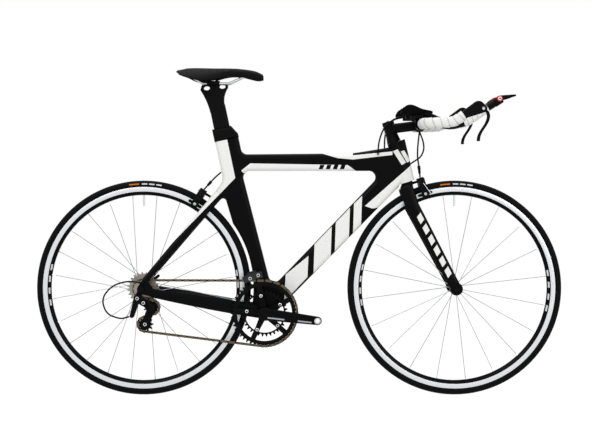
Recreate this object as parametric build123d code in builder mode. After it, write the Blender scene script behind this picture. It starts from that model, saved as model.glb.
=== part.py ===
from build123d import *
import os
from math import acos, asin, atan2, cos, degrees, hypot, pi, radians, sin, sqrt, tan

# Driving sizes of the bicycle, in millimetres and degrees
SADDLE_ABOVE_CRANK = 760.0
RIM_OUTER_RADIUS = 314.0
TYRE_HEIGHT = 20.0
TYRE_RADIUS = RIM_OUTER_RADIUS + TYRE_HEIGHT
CHAINSTAY_LENGTH = TYRE_RADIUS + 51.0
WHEELBASE = 2 * TYRE_RADIUS + 301.0
CRANK_DROP = 76.0
HEAD_LEAN = 17.5
SEAT_LEAN = 12.0
SEAT_AXIS_BEHIND_CRANK = 12.0
FORK_RAKE = 43.0
CLEARANCE = 0.3

# Seat height and what follows from it
RAIL_DROP = 48.0
SADDLE_AHEAD_OF_POST = 6.34
RAIL_RUN = (SADDLE_ABOVE_CRANK - RAIL_DROP) / cos(radians(SEAT_LEAN))
SADDLE_BEHIND_CRANK = SEAT_AXIS_BEHIND_CRANK + RAIL_RUN * sin(radians(SEAT_LEAN)) - SADDLE_AHEAD_OF_POST
POST_HEAD_LENGTH = 88.0
POST_FLARE = RAIL_RUN - POST_HEAD_LENGTH
SEAT_TUBE_LENGTH = POST_FLARE - 92.0
TOP_TUBE_HEIGHT = SEAT_TUBE_LENGTH * cos(radians(SEAT_LEAN)) - 44.0

# Wheels
TYRE_WIDTH = 23.0
RIM_INNER_RADIUS = RIM_OUTER_RADIUS - 25.0
RIM_WIDTH = 20.0
RIM_TRACK_DEPTH = 14.0
RIM_BED_WIDTH = 9.0
SPOKE_RADIUS = 1.0
FRONT_SPOKES = 20
REAR_SPOKES = 24
SPOKE_START_ANGLE = 7.0
VALVE_RADIUS = 3.0
VALVE_LENGTH = 34.0
FRONT_HUB_WIDTH = 100.0
REAR_HUB_WIDTH = 130.0
AXLE_RADIUS = 5.0
SKEWER_RADIUS = 2.5
HUB_BODY_RADIUS = 11.0
FLANGE_THICKNESS = 3.0
FRONT_FLANGE_RADIUS = 19.0
FRONT_FLANGE_OFFSET = 34.0
REAR_FLANGE_RADIUS = 25.0
REAR_FLANGE_LEFT = 36.0
REAR_FLANGE_RIGHT = 16.5
REAR_HUB_RIGHT_END = 22.2

# Frame
FRAME_WIDTH = 36.0
FRAME_ROUND = 14.0
WHEEL_GAP = 8.0
TOP_TUBE_DEPTH = 52.0
TOP_TUBE_RISE_START = 272.0
HEAD_JUNCTION = 38.8
DOWN_TUBE_DEPTH = 62.0
DOWN_TUBE_BELOW_CRANK = 25.0
SEAT_TUBE_REAR = 30.0
SEAT_FLARE_FOOT = 109.0
SEAT_FLARE_BELOW_TOP = 105.0
SEAT_TUBE_FRONT_LOW = 46.0
SEAT_TUBE_FRONT_HIGH = 32.0
SEAT_TUBE_FRONT_TOP = 44.5
STAY_BELOW_TOP = 124.6
STAY_STUB = 220.0
STAY_SPREAD = 2.07
STAY_DEPTH = 28.0
STAY_WIDTH = 14.0
STAY_TIP_DEPTH = 19.0
STAY_TIP_WIDTH = 12.0
CHAINSTAY_DEPTH = 42.0
CHAINSTAY_WIDTH = 16.0
CHAINSTAY_TIP_DEPTH = 26.0
WINDOW_ROUND = 20.0
HEAD_TUBE_BOTTOM = TYRE_RADIUS + 11.0
HEAD_TUBE_RISE = 37.1
HEAD_TOP = (TOP_TUBE_HEIGHT + HEAD_TUBE_RISE - CRANK_DROP) / cos(radians(HEAD_LEAN))
HEAD_TUBE_LENGTH = HEAD_TOP - HEAD_TUBE_BOTTOM
HEAD_TUBE_REAR = 20.0
HEAD_TUBE_FRONT_LOW = 25.0
HEAD_TUBE_FRONT_TOP = 35.0
STEERER_RADIUS = 14.3
HEAD_TUBE_RADIUS = 22.0
HEAD_BORE_RADIUS = 17.0
DROPOUT_THICKNESS = 7.0
CRANK_SHELL_RADIUS = 22.0
CRANK_SHELL_WIDTH = 68.0
CRANK_CUP_WIDTH = 10.0

# Seatpost and saddle
COLLAR_HEIGHT = 40.0
COLLAR_ROUND = 8.0
POST_DEPTH = 50.0
POST_WIDTH = 22.0
POST_INSERTION = 90.0
POST_WINDOW = (9.5, 6.5)
RAIL_RADIUS = 3.5
RAIL_SPACING = 44.0
SADDLE_PAD_THICKNESS = 7.0
SADDLE_SHELL_THICKNESS = 3.0

# Fork
CROWN_DEPTH = 15.0
CROWN_RACE = 4.0
CROWN_ROOM = 6.0
CROWN_TOP_RADIUS = 19.0
BLADE_CHORD = 43.0
BLADE_TIP_CHORD = 33.0
BLADE_WIDTH = 16.0
BLADE_TIP_WIDTH = 12.0
FORK_TIP_RADIUS = 20.0

# Cockpit
BAR_AHEAD = 481.0
BAR_ABOVE = TOP_TUBE_HEIGHT + 90.1
BAR_RADIUS = 12.0
BAR_CLAMP_RADIUS = 15.9
BAR_HALF_WIDTH = 200.0
TAPE_THICKNESS = 4.5
STEM_WIDTH = 40.0
BAR_SLEEVE = 18.0
STEM_CLAMP_HEIGHT = 40.0
SPACER_HEIGHT = 24.0
EXTENSION_RADIUS = 11.1
EXTENSION_SPACING = 110.0
PAD_SPACING = 200.0

# Drivetrain
CHAIN_PITCH = 12.7
CHAIN_LINE = 50.0
CHAIN_HEIGHT = 8.5
CHAIN_GAP = 2.8
CHAIN_PLATE = 1.2
RING_TEETH = 50
SMALL_RING_TEETH = 34
COG_TEETH = (11, 12, 13, 14, 15, 16, 17, 19, 21, 23)
DRIVE_COG = 2
COG_SPACING = 3.75
COG_THICKNESS = 1.8
COG_SLEEVE_RADIUS = 17.0
PULLEY_TEETH = 11
RING_THICKNESS = 2.0
RING_GAP = 6.5
RING_BOLT_RADIUS = 55.0
SPIDER_ARMS = 5
SPIDER_ANGLE = 29.5
CRANK_LENGTH = 165.0
CRANK_ANGLE = -7.3
CRANK_THICKNESS = 14.0
CRANK_BOSS_RADIUS = 19.0
CRANK_EYE_RADIUS = 13.0
CRANK_INSET = 63.0
SPINDLE_RADIUS = 12.0
PEDAL_THREAD_RADIUS = 7.14
CABLE_RADIUS = 2.5


def at(ahead, above):
    """Side-view point measured from the crank axle."""
    return (SADDLE_BEHIND_CRANK + ahead, above - SADDLE_ABOVE_CRANK)


def moved(point, ahead, above):
    """Side-view point moved forwards and upwards."""
    return (point[0] + ahead, point[1] + above)


def leaning(foot, lean, along, ahead):
    """Side-view point measured along, and ahead of, an axis that leans back."""
    turn = radians(lean)
    return moved(foot, ahead * cos(turn) - along * sin(turn), along * cos(turn) + ahead * sin(turn))


def meet(first, first_angle, second, second_angle):
    """Side-view point where two lines meet, each given by a point and an angle."""
    ax, az = cos(radians(first_angle)), sin(radians(first_angle))
    bx, bz = cos(radians(second_angle)), sin(radians(second_angle))
    dx, dz = second[0] - first[0], second[1] - first[1]
    run = (dx * bz - dz * bx) / (ax * bz - az * bx)
    return moved(first, run * ax, run * az)


def around(centre, radius, angle):
    """Side-view point on a circle."""
    return moved(centre, radius * cos(radians(angle)), radius * sin(radians(angle)))


def between(first, second, share):
    """Side-view point part of the way from one point to another."""
    return moved(first, (second[0] - first[0]) * share, (second[1] - first[1]) * share)


def space(point, y):
    """Side-view point placed across the bicycle."""
    return (point[0], y, point[1])


def side(y):
    """Upright plane along the bicycle; its normal points to the right-hand side."""
    return Plane(origin=(0, y, 0), x_dir=(1, 0, 0), z_dir=(0, -1, 0))


def across(start, end):
    """Plane square to the line from start to end, its x axis near the side view."""
    ahead = Vector(*end) - Vector(*start)
    return Plane(origin=start, x_dir=ahead.cross(Vector(0, 1, 0)), z_dir=ahead)


def pitch_radius(teeth):
    """Radius of the circle on which a sprocket carries the chain's pins."""
    return CHAIN_PITCH / 2 / sin(pi / teeth)


def sprocket(centre, teeth):
    """Corner points of a toothed outline, four for each tooth."""
    root = pitch_radius(teeth) - 3.9
    tip = pitch_radius(teeth) + 3.4
    step = 360 / teeth
    shape = ((root, -0.32), (tip, -0.12), (tip, 0.12), (root, 0.32))
    return [around(centre, radius, (tooth + share) * step) for tooth in range(teeth) for radius, share in shape]


pieces = {}

# Reference points in the side view, with the origin where the rider sits
CRANK = at(0, 0)
REAR_AXLE = at(-sqrt(CHAINSTAY_LENGTH**2 - CRANK_DROP**2), CRANK_DROP)
FRONT_AXLE = moved(REAR_AXLE, WHEELBASE, 0)
STEER_FOOT = moved(FRONT_AXLE, -FORK_RAKE / cos(radians(HEAD_LEAN)), 0)
SEAT_FOOT = moved(CRANK, -SEAT_AXIS_BEHIND_CRANK, 0)
BAR = at(BAR_AHEAD, BAR_ABOVE)


def steer(along, ahead):
    """Side-view point measured on the steering axis."""
    return leaning(STEER_FOOT, HEAD_LEAN, along, ahead)


def seat(along, ahead):
    """Side-view point measured on the seat tube's axis."""
    return leaning(SEAT_FOOT, SEAT_LEAN, along, ahead)


# Wheels: tyre, rim and valve are the same at both ends
TYRE_BEAD = sqrt((TYRE_WIDTH / 2) ** 2 - (TYRE_RADIUS - TYRE_WIDTH / 2 - RIM_OUTER_RADIUS) ** 2)
for wheel, axle in (("front", FRONT_AXLE), ("rear", REAR_AXLE)):
    spin = Axis(space(axle, 0), (0, 1, 0))
    section = Plane(origin=space(axle, 0), x_dir=(1, 0, 0), z_dir=(0, 0, 1))
    with BuildPart() as tyre:
        with BuildSketch(section):
            with BuildLine():
                ThreePointArc((RIM_OUTER_RADIUS, -TYRE_BEAD), (TYRE_RADIUS, 0), (RIM_OUTER_RADIUS, TYRE_BEAD))
                Line((RIM_OUTER_RADIUS, TYRE_BEAD), (RIM_OUTER_RADIUS, -TYRE_BEAD))
            make_face()
        revolve(axis=spin)
    with BuildPart() as rim:
        track = RIM_OUTER_RADIUS - RIM_TRACK_DEPTH
        with BuildSketch(section):
            with BuildLine():
                Polyline(
                    (RIM_OUTER_RADIUS, -RIM_WIDTH / 2),
                    (RIM_OUTER_RADIUS, RIM_WIDTH / 2),
                    (track, RIM_WIDTH / 2),
                    (RIM_INNER_RADIUS, RIM_BED_WIDTH / 2),
                    (RIM_INNER_RADIUS, -RIM_BED_WIDTH / 2),
                    (track, -RIM_WIDTH / 2),
                    close=True,
                )
            make_face()
        revolve(axis=spin)
    with BuildPart() as valve:
        with BuildSketch(Plane(origin=space(moved(axle, 0, RIM_INNER_RADIUS - CLEARANCE), 0), z_dir=(0, 0, -1))):
            Circle(VALVE_RADIUS)
        extrude(amount=VALVE_LENGTH)
    pieces[f"{wheel}_tyre"] = tyre.part
    pieces[f"{wheel}_rim"] = rim.part
    pieces[f"{wheel}_valve"] = valve.part

# Front hub with radial spokes
FRONT_SPIN = Axis(space(FRONT_AXLE, 0), (0, 1, 0))
with BuildPart() as front_hub:
    with BuildSketch(Plane(origin=space(FRONT_AXLE, 0), x_dir=(1, 0, 0), z_dir=(0, 0, 1))):
        with BuildLine():
            end = FRONT_HUB_WIDTH / 2 - CLEARANCE
            inner = FRONT_FLANGE_OFFSET - FLANGE_THICKNESS / 2
            outer = FRONT_FLANGE_OFFSET + FLANGE_THICKNESS / 2
            Polyline(
                (AXLE_RADIUS + CLEARANCE, -end),
                (HUB_BODY_RADIUS, -end),
                (HUB_BODY_RADIUS, -outer),
                (FRONT_FLANGE_RADIUS, -outer),
                (FRONT_FLANGE_RADIUS, -inner),
                (HUB_BODY_RADIUS, -inner),
                (HUB_BODY_RADIUS, inner),
                (FRONT_FLANGE_RADIUS, inner),
                (FRONT_FLANGE_RADIUS, outer),
                (HUB_BODY_RADIUS, outer),
                (HUB_BODY_RADIUS, end),
                (AXLE_RADIUS + CLEARANCE, end),
                close=True,
            )
        make_face()
    revolve(axis=FRONT_SPIN)
pieces["front_hub"] = front_hub.part

with BuildPart() as front_spokes:
    for number in range(FRONT_SPOKES):
        angle = SPOKE_START_ANGLE + number * 360 / FRONT_SPOKES
        hand = -1 if number % 2 else 1
        start = space(around(FRONT_AXLE, FRONT_FLANGE_RADIUS + CLEARANCE, angle), hand * FRONT_FLANGE_OFFSET)
        end = space(around(FRONT_AXLE, RIM_INNER_RADIUS - CLEARANCE, angle), hand * SPOKE_RADIUS)
        with BuildSketch(across(start, end)):
            Circle(SPOKE_RADIUS)
        extrude(amount=(Vector(*end) - Vector(*start)).length)
pieces["front_spokes"] = front_spokes.part

# Rear hub with crossed spokes; the cassette turns on the axle beside it
REAR_SPIN = Axis(space(REAR_AXLE, 0), (0, 1, 0))
with BuildPart() as rear_hub:
    with BuildSketch(Plane(origin=space(REAR_AXLE, 0), x_dir=(1, 0, 0), z_dir=(0, 0, 1))):
        with BuildLine():
            left = REAR_HUB_WIDTH / 2 - CLEARANCE
            half = FLANGE_THICKNESS / 2
            Polyline(
                (AXLE_RADIUS + CLEARANCE, -REAR_HUB_RIGHT_END),
                (HUB_BODY_RADIUS, -REAR_HUB_RIGHT_END),
                (HUB_BODY_RADIUS, -REAR_FLANGE_RIGHT - half),
                (REAR_FLANGE_RADIUS, -REAR_FLANGE_RIGHT - half),
                (REAR_FLANGE_RADIUS, -REAR_FLANGE_RIGHT + half),
                (HUB_BODY_RADIUS, -REAR_FLANGE_RIGHT + half),
                (HUB_BODY_RADIUS, REAR_FLANGE_LEFT - half),
                (REAR_FLANGE_RADIUS, REAR_FLANGE_LEFT - half),
                (REAR_FLANGE_RADIUS, REAR_FLANGE_LEFT + half),
                (HUB_BODY_RADIUS, REAR_FLANGE_LEFT + half),
                (HUB_BODY_RADIUS, left),
                (AXLE_RADIUS + CLEARANCE, left),
                close=True,
            )
        make_face()
    revolve(axis=REAR_SPIN)
pieces["rear_hub"] = rear_hub.part

SPOKE_WRAP = 52.0
SPOKE_SEAT_RADIUS = REAR_FLANGE_RADIUS - 4.0
SPOKE_FACE_OFFSET = FLANGE_THICKNESS / 2 + SPOKE_RADIUS + 3 * CLEARANCE
with BuildPart() as rear_spokes:
    for number in range(REAR_SPOKES):
        angle = SPOKE_START_ANGLE + number * 360 / REAR_SPOKES
        flange = REAR_FLANGE_LEFT if number % 2 else -REAR_FLANGE_RIGHT
        lead = -1 if number % 4 < 2 else 1
        foot = around(REAR_AXLE, SPOKE_SEAT_RADIUS, angle + lead * SPOKE_WRAP)
        start = space(foot, flange + lead * SPOKE_FACE_OFFSET)
        tip = around(REAR_AXLE, RIM_INNER_RADIUS - CLEARANCE, angle)
        end = space(tip, SPOKE_RADIUS if number % 2 else -SPOKE_RADIUS)
        with BuildSketch(across(start, end)):
            Circle(SPOKE_RADIUS)
        extrude(amount=(Vector(*end) - Vector(*start)).length)
pieces["rear_spokes"] = rear_spokes.part

# Axles with their quick releases, nut on the right and lever on the left
NUT_RADIUS = 9.0
NUT_LENGTH = 9.0
LEVER_LENGTH = 48.0
for wheel, axle, width, seat_face, lever_turn in (
    ("front", FRONT_AXLE, FRONT_HUB_WIDTH, FRONT_HUB_WIDTH / 2 + BLADE_TIP_WIDTH, 100.0),
    ("rear", REAR_AXLE, REAR_HUB_WIDTH, REAR_HUB_WIDTH / 2 + DROPOUT_THICKNESS, 40.0),
):
    with BuildPart() as skewer:
        with BuildSketch(side(width / 2)):
            with Locations(axle):
                Circle(AXLE_RADIUS)
        extrude(amount=width)
        with BuildSketch(side(seat_face)):
            with Locations(axle):
                Circle(SKEWER_RADIUS)
        extrude(amount=2 * seat_face)
        with BuildSketch(side(-seat_face)):
            with Locations(axle):
                Circle(NUT_RADIUS)
        extrude(amount=NUT_LENGTH)
        with BuildSketch(side(seat_face + NUT_LENGTH)):
            with Locations(axle):
                Circle(NUT_RADIUS)
        extrude(amount=NUT_LENGTH)
        with BuildSketch(side(seat_face + NUT_LENGTH)):
            with Locations(axle):
                Circle(NUT_RADIUS * 0.8)
            with Locations(around(axle, LEVER_LENGTH, lever_turn)):
                Circle(NUT_RADIUS * 0.5)
            make_hull()
        extrude(amount=NUT_LENGTH / 2)
    pieces[f"{wheel}_skewer"] = skewer.part

# Front triangle: one side outline with its window, rounded along both faces
SEAT_FRONT_ANGLE = 90 + SEAT_LEAN
TOP_LINE = at(0, TOP_TUBE_HEIGHT)
TOP_UNDER = at(0, TOP_TUBE_HEIGHT - TOP_TUBE_DEPTH)
HEAD_CORNER = meet(steer(0, -HEAD_TUBE_REAR), 90 + HEAD_LEAN, TOP_UNDER, 0)
WINDOW_HEAD = moved(HEAD_CORNER, -HEAD_JUNCTION, 0)
DOWN_RUN = hypot(WINDOW_HEAD[0] - CRANK[0], WINDOW_HEAD[1] - CRANK[1])
DOWN_SLOPE = degrees(atan2(WINDOW_HEAD[1] - CRANK[1], WINDOW_HEAD[0] - CRANK[0]))
DOWN_TUBE_ANGLE = DOWN_SLOPE - degrees(asin((DOWN_TUBE_DEPTH - DOWN_TUBE_BELOW_CRANK) / DOWN_RUN))
DOWN_OUTER = around(CRANK, DOWN_TUBE_BELOW_CRANK, DOWN_TUBE_ANGLE - 90)
DOWN_INNER = around(DOWN_OUTER, DOWN_TUBE_DEPTH, DOWN_TUBE_ANGLE + 90)
SEAT_FRONT_LOW = seat(SEAT_FLARE_FOOT, SEAT_TUBE_FRONT_LOW)
SEAT_FRONT_HIGH = seat(SEAT_TUBE_LENGTH - SEAT_FLARE_BELOW_TOP, SEAT_TUBE_FRONT_HIGH)
SEAT_FRONT_SLOPE = degrees(atan2(SEAT_FRONT_HIGH[1] - SEAT_FRONT_LOW[1], SEAT_FRONT_HIGH[0] - SEAT_FRONT_LOW[0]))
WINDOW_SEAT = meet(SEAT_FRONT_LOW, SEAT_FRONT_SLOPE, TOP_UNDER, 0)
WINDOW_CRANK = meet(DOWN_INNER, DOWN_TUBE_ANGLE, SEAT_FRONT_LOW, SEAT_FRONT_SLOPE)
WINDOW_MIDDLE = between(between(WINDOW_SEAT, WINDOW_HEAD, 0.4), WINDOW_CRANK, 0.4)
TOP_SEAT = meet(seat(0, SEAT_TUBE_FRONT_TOP), SEAT_FRONT_ANGLE, TOP_LINE, 0)
TOP_KINK = at(TOP_TUBE_RISE_START, TOP_TUBE_HEIGHT + 3.0)
TOP_HEAD = steer(HEAD_TOP - 10.0, -HEAD_TUBE_REAR)
STAY_TIP = moved(REAR_AXLE, 10.0, 26.0)
STAY_CORNER = seat(SEAT_TUBE_LENGTH - STAY_BELOW_TOP, -SEAT_TUBE_REAR + 0.4)
STAY_ANGLE = degrees(atan2(STAY_CORNER[1] - STAY_TIP[1], STAY_CORNER[0] - STAY_TIP[0])) - STAY_SPREAD
STAY_END = around(STAY_CORNER, STAY_STUB, 180 + STAY_ANGLE)
STAY_LOWER_END = around(STAY_END, STAY_DEPTH - 4.0, STAY_ANGLE - 90)
GAP_TOP = seat(SEAT_TUBE_LENGTH - STAY_BELOW_TOP - 43.7, -SEAT_TUBE_REAR - 5.5)
GAP_LOW = seat(SEAT_TUBE_LENGTH - STAY_BELOW_TOP - 151.8, -SEAT_TUBE_REAR + 2.9)
TRIM = 28.0

with BuildPart() as triangle:
    with BuildSketch(Plane.XZ) as outline:
        with BuildLine():
            Polyline(
                seat(SEAT_TUBE_LENGTH + TRIM, -SEAT_TUBE_REAR),
                STAY_CORNER,
                STAY_END,
                STAY_LOWER_END,
                GAP_TOP,
                GAP_LOW,
                moved(CRANK, -60.0, -10.0),
                DOWN_OUTER,
                steer(HEAD_TUBE_BOTTOM, -HEAD_TUBE_REAR + 4.0),
                steer(HEAD_TUBE_BOTTOM - TRIM, -HEAD_TUBE_REAR),
                steer(HEAD_TUBE_BOTTOM - TRIM, HEAD_TUBE_FRONT_LOW - 2.0),
                steer(HEAD_TOP + TRIM, HEAD_TUBE_FRONT_TOP + 2.0),
                steer(HEAD_TOP + TRIM, -HEAD_TUBE_REAR),
                TOP_HEAD,
                TOP_KINK,
                TOP_SEAT,
                seat(SEAT_TUBE_LENGTH + TRIM, SEAT_TUBE_FRONT_TOP),
                close=True,
            )
        make_face()
        fillet(outline.vertices().sort_by_distance(STAY_CORNER)[0], 45.0)
        fillet(outline.vertices().sort_by_distance(GAP_TOP)[0], 10.0)
        fillet(outline.vertices().sort_by_distance(TOP_SEAT)[0], WINDOW_ROUND)
        fillet(outline.vertices().sort_by_distance(TOP_KINK)[0], 300.0)
        with Locations(CRANK):
            Circle(DOWN_TUBE_BELOW_CRANK + 3.0)
        with Locations(REAR_AXLE):
            Circle(TYRE_RADIUS + WHEEL_GAP, mode=Mode.SUBTRACT)
        with BuildSketch(Plane.XZ, mode=Mode.SUBTRACT) as window:
            with BuildLine():
                Polyline(WINDOW_SEAT, WINDOW_HEAD, WINDOW_CRANK, close=True)
            make_face()
            fillet(window.vertices(), WINDOW_ROUND)
    extrude(amount=FRAME_WIDTH / 2, both=True)
    fillet(triangle.faces().filter_by(Axis.Y).edges(), FRAME_ROUND)

with BuildPart() as crank_shell:
    half = CRANK_SHELL_WIDTH / 2 + CRANK_CUP_WIDTH
    with BuildSketch(side(CRANK_SHELL_WIDTH / 2)):
        with Locations(CRANK):
            Circle(CRANK_SHELL_RADIUS)
    extrude(amount=CRANK_SHELL_WIDTH)
    with BuildSketch(side(half)):
        with Locations(CRANK):
            Circle(CRANK_SHELL_RADIUS - 1.5)
    extrude(amount=2 * half)
    with BuildSketch(side(half)):
        with Locations(CRANK):
            Circle(SPINDLE_RADIUS + CLEARANCE)
    extrude(amount=2 * half, mode=Mode.SUBTRACT)
pieces["crank_shell"] = crank_shell.part

# The triangle is cut into its tubes where the real ones are welded
FAR = 900.0
HEAD_LINE_TOP = steer(FAR, -HEAD_TUBE_REAR)
HEAD_LINE_WINDOW = meet(HEAD_LINE_TOP, 90 + HEAD_LEAN, TOP_UNDER, 0)
HEAD_LINE_LOW = steer(0, -HEAD_TUBE_REAR)
SEAT_SPLIT_TOP = moved(TOP_SEAT, 9.0, 0)
SEAT_SPLIT_FAR = moved(SEAT_SPLIT_TOP, 0, FAR)
REGIONS = {
    "seat_tube": (
        WINDOW_MIDDLE,
        WINDOW_SEAT,
        SEAT_SPLIT_TOP,
        SEAT_SPLIT_FAR,
        moved(SEAT_SPLIT_FAR, -FAR, 0),
        moved(CRANK, -FAR, -FAR),
        moved(CRANK, 0, -FAR),
        CRANK,
        WINDOW_CRANK,
    ),
    "top_tube": (
        WINDOW_MIDDLE,
        WINDOW_SEAT,
        SEAT_SPLIT_TOP,
        SEAT_SPLIT_FAR,
        HEAD_LINE_TOP,
        HEAD_LINE_WINDOW,
        WINDOW_HEAD,
    ),
    "down_tube": (
        WINDOW_MIDDLE,
        WINDOW_HEAD,
        HEAD_LINE_WINDOW,
        HEAD_LINE_LOW,
        moved(CRANK, 0, -FAR),
        CRANK,
        WINDOW_CRANK,
    ),
    "head_tube": (
        HEAD_LINE_TOP,
        HEAD_LINE_LOW,
        moved(HEAD_LINE_LOW, FAR, 0),
        moved(HEAD_LINE_TOP, FAR, 0),
    ),
}
HEAD_UP = Vector(*space(leaning((0, 0), HEAD_LEAN, 1, 0), 0))
SEAT_UP = Vector(*space(leaning((0, 0), SEAT_LEAN, 1, 0), 0))
SEAT_AHEAD = Vector(*space(leaning((0, 0), SEAT_LEAN, 0, 1), 0))


def post_section(along):
    """Plane square to the seatpost at a height along the seat tube."""
    return Plane(origin=space(seat(along, 0), 0), x_dir=SEAT_AHEAD, z_dir=SEAT_UP)


def steer_section(along):
    """Plane square to the steering axis."""
    return Plane(origin=space(steer(along, 0), 0), x_dir=(0, 1, 0), z_dir=HEAD_UP)


for tube, region in REGIONS.items():
    with BuildPart() as cut:
        add(triangle.part)
        with BuildSketch(Plane.XZ):
            with BuildLine():
                Polyline(*region, close=True)
            make_face()
        extrude(amount=FRAME_WIDTH, both=True, mode=Mode.INTERSECT)
        with BuildSketch(side(CRANK_SHELL_WIDTH)):
            with Locations(CRANK):
                Circle(CRANK_SHELL_RADIUS)
        extrude(amount=2 * CRANK_SHELL_WIDTH, mode=Mode.SUBTRACT)
        if tube == "seat_tube":
            split(bisect_by=post_section(SEAT_TUBE_LENGTH), keep=Keep.BOTTOM)
            with BuildSketch(post_section(SEAT_TUBE_LENGTH - POST_INSERTION)):
                SlotOverall(POST_DEPTH + 2 * CLEARANCE, POST_WIDTH + 2 * CLEARANCE)
            extrude(amount=POST_INSERTION, mode=Mode.SUBTRACT)
        if tube == "head_tube":
            with BuildSketch(steer_section(HEAD_TUBE_BOTTOM - TRIM)):
                Circle(HEAD_TUBE_RADIUS)
            extrude(amount=HEAD_TUBE_LENGTH + 2 * TRIM)
            with BuildSketch(steer_section(HEAD_TUBE_BOTTOM - TRIM)):
                Circle(HEAD_BORE_RADIUS)
            extrude(amount=HEAD_TUBE_LENGTH + 2 * TRIM, mode=Mode.SUBTRACT)
            split(bisect_by=steer_section(HEAD_TOP), keep=Keep.BOTTOM)
            split(bisect_by=steer_section(HEAD_TUBE_BOTTOM), keep=Keep.TOP)
        else:
            with BuildSketch(steer_section(HEAD_TUBE_BOTTOM)):
                Circle(HEAD_TUBE_RADIUS)
            extrude(amount=HEAD_TUBE_LENGTH + TRIM, mode=Mode.SUBTRACT)
            with BuildSketch(steer_section(HEAD_TUBE_BOTTOM - TRIM)):
                Circle(HEAD_TUBE_RADIUS + CROWN_ROOM)
            extrude(amount=TRIM, mode=Mode.SUBTRACT)
    pieces[tube] = cut.part

# Dropouts, with the derailleur hanger on the right one
TANG_INSET = 2.0
CHAINSTAY_TIP = moved(REAR_AXLE, 32.0, -12.0)
HANGER = moved(REAR_AXLE, -12.0, -27.0)
HANGER_RADIUS = 9.0
HANGER_BOLT_RADIUS = 4.0
DROPOUT_INNER = REAR_HUB_WIDTH / 2
DROPOUT_OUTER = DROPOUT_INNER + DROPOUT_THICKNESS
for hand, name in ((1, "left"), (-1, "right")):
    with BuildPart() as dropout:
        with BuildSketch(side(max(hand * DROPOUT_INNER, hand * DROPOUT_OUTER))):
            with Locations(REAR_AXLE):
                Circle(14.0)
            with Locations(STAY_TIP):
                Circle(STAY_TIP_DEPTH / 2 - TANG_INSET)
            with Locations(CHAINSTAY_TIP):
                Circle(CHAINSTAY_TIP_DEPTH / 2 - TANG_INSET)
            make_hull()
            with Locations(REAR_AXLE):
                Circle(SKEWER_RADIUS + CLEARANCE, mode=Mode.SUBTRACT)
        extrude(amount=DROPOUT_THICKNESS)
        if name == "right":
            with BuildSketch(side(-DROPOUT_INNER)):
                with Locations(HANGER):
                    Circle(HANGER_RADIUS)
                with Locations(moved(REAR_AXLE, -4.0, -8.0)):
                    Circle(HANGER_RADIUS)
                make_hull()
            extrude(amount=DROPOUT_THICKNESS)
            with BuildSketch(side(-DROPOUT_INNER)):
                with Locations(REAR_AXLE):
                    Circle(SKEWER_RADIUS + CLEARANCE)
                with Locations(HANGER):
                    Circle(HANGER_BOLT_RADIUS + CLEARANCE)
            extrude(amount=DROPOUT_THICKNESS, mode=Mode.SUBTRACT)
    pieces[f"dropout_{name}"] = dropout.part

# Seatstays and chainstays, cut to the tubes and dropouts they are welded to
STAY_TOP = around(between(STAY_CORNER, GAP_TOP, 0.5), 24.0, 180 + STAY_ANGLE)
STAY_TOP_OFFSET = FRAME_WIDTH / 2 + 1.0
STAY_TIP_OFFSET = DROPOUT_INNER + DROPOUT_THICKNESS / 2
CHAINSTAY_FRONT = moved(CRANK, -14.0, 3.0)
CHAINSTAY_FRONT_OFFSET = 21.0
CHAINSTAY_MIDDLE = moved(CRANK, -99.0, 18.0)
CHAINSTAY_MIDDLE_OFFSET = 30.0
for hand, name in ((1, "left"), (-1, "right")):
    with BuildPart() as seatstay:
        start = space(STAY_TOP, hand * STAY_TOP_OFFSET)
        end = space(STAY_TIP, hand * STAY_TIP_OFFSET)
        with BuildSketch(across(start, end)):
            Ellipse(STAY_DEPTH / 2, STAY_WIDTH / 2)
        with BuildSketch(Plane(origin=end, x_dir=across(start, end).x_dir, z_dir=across(start, end).z_dir)):
            Ellipse(STAY_TIP_DEPTH / 2, STAY_TIP_WIDTH / 2)
        loft()
        split(bisect_by=Plane(origin=(0, hand * FRAME_WIDTH / 2, 0), z_dir=(0, hand, 0)), keep=Keep.TOP)
        add(pieces[f"dropout_{name}"], mode=Mode.SUBTRACT)
    pieces[f"seatstay_{name}"] = seatstay.part.solids().sort_by(SortBy.VOLUME)[-1]
    with BuildPart() as chainstay:
        start = space(CHAINSTAY_TIP, hand * STAY_TIP_OFFSET)
        middle = space(CHAINSTAY_MIDDLE, hand * CHAINSTAY_MIDDLE_OFFSET)
        end = space(CHAINSTAY_FRONT, hand * CHAINSTAY_FRONT_OFFSET)
        with BuildSketch(across(start, middle)):
            Ellipse(CHAINSTAY_TIP_DEPTH / 2, STAY_TIP_WIDTH / 2)
        with BuildSketch(Plane(origin=middle, x_dir=across(start, end).x_dir, z_dir=across(start, end).z_dir)):
            Ellipse(CHAINSTAY_DEPTH / 2, CHAINSTAY_WIDTH / 2)
        with BuildSketch(Plane(origin=end, x_dir=across(start, end).x_dir, z_dir=across(start, end).z_dir)):
            Ellipse(CHAINSTAY_DEPTH / 2, CHAINSTAY_WIDTH / 2)
        loft()
        add(pieces["crank_shell"], mode=Mode.SUBTRACT)
        add(pieces["seat_tube"], mode=Mode.SUBTRACT)
        add(pieces["down_tube"], mode=Mode.SUBTRACT)
        add(pieces[f"dropout_{name}"], mode=Mode.SUBTRACT)
    pieces[f"chainstay_{name}"] = chainstay.part.solids().sort_by(SortBy.VOLUME)[-1]

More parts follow.
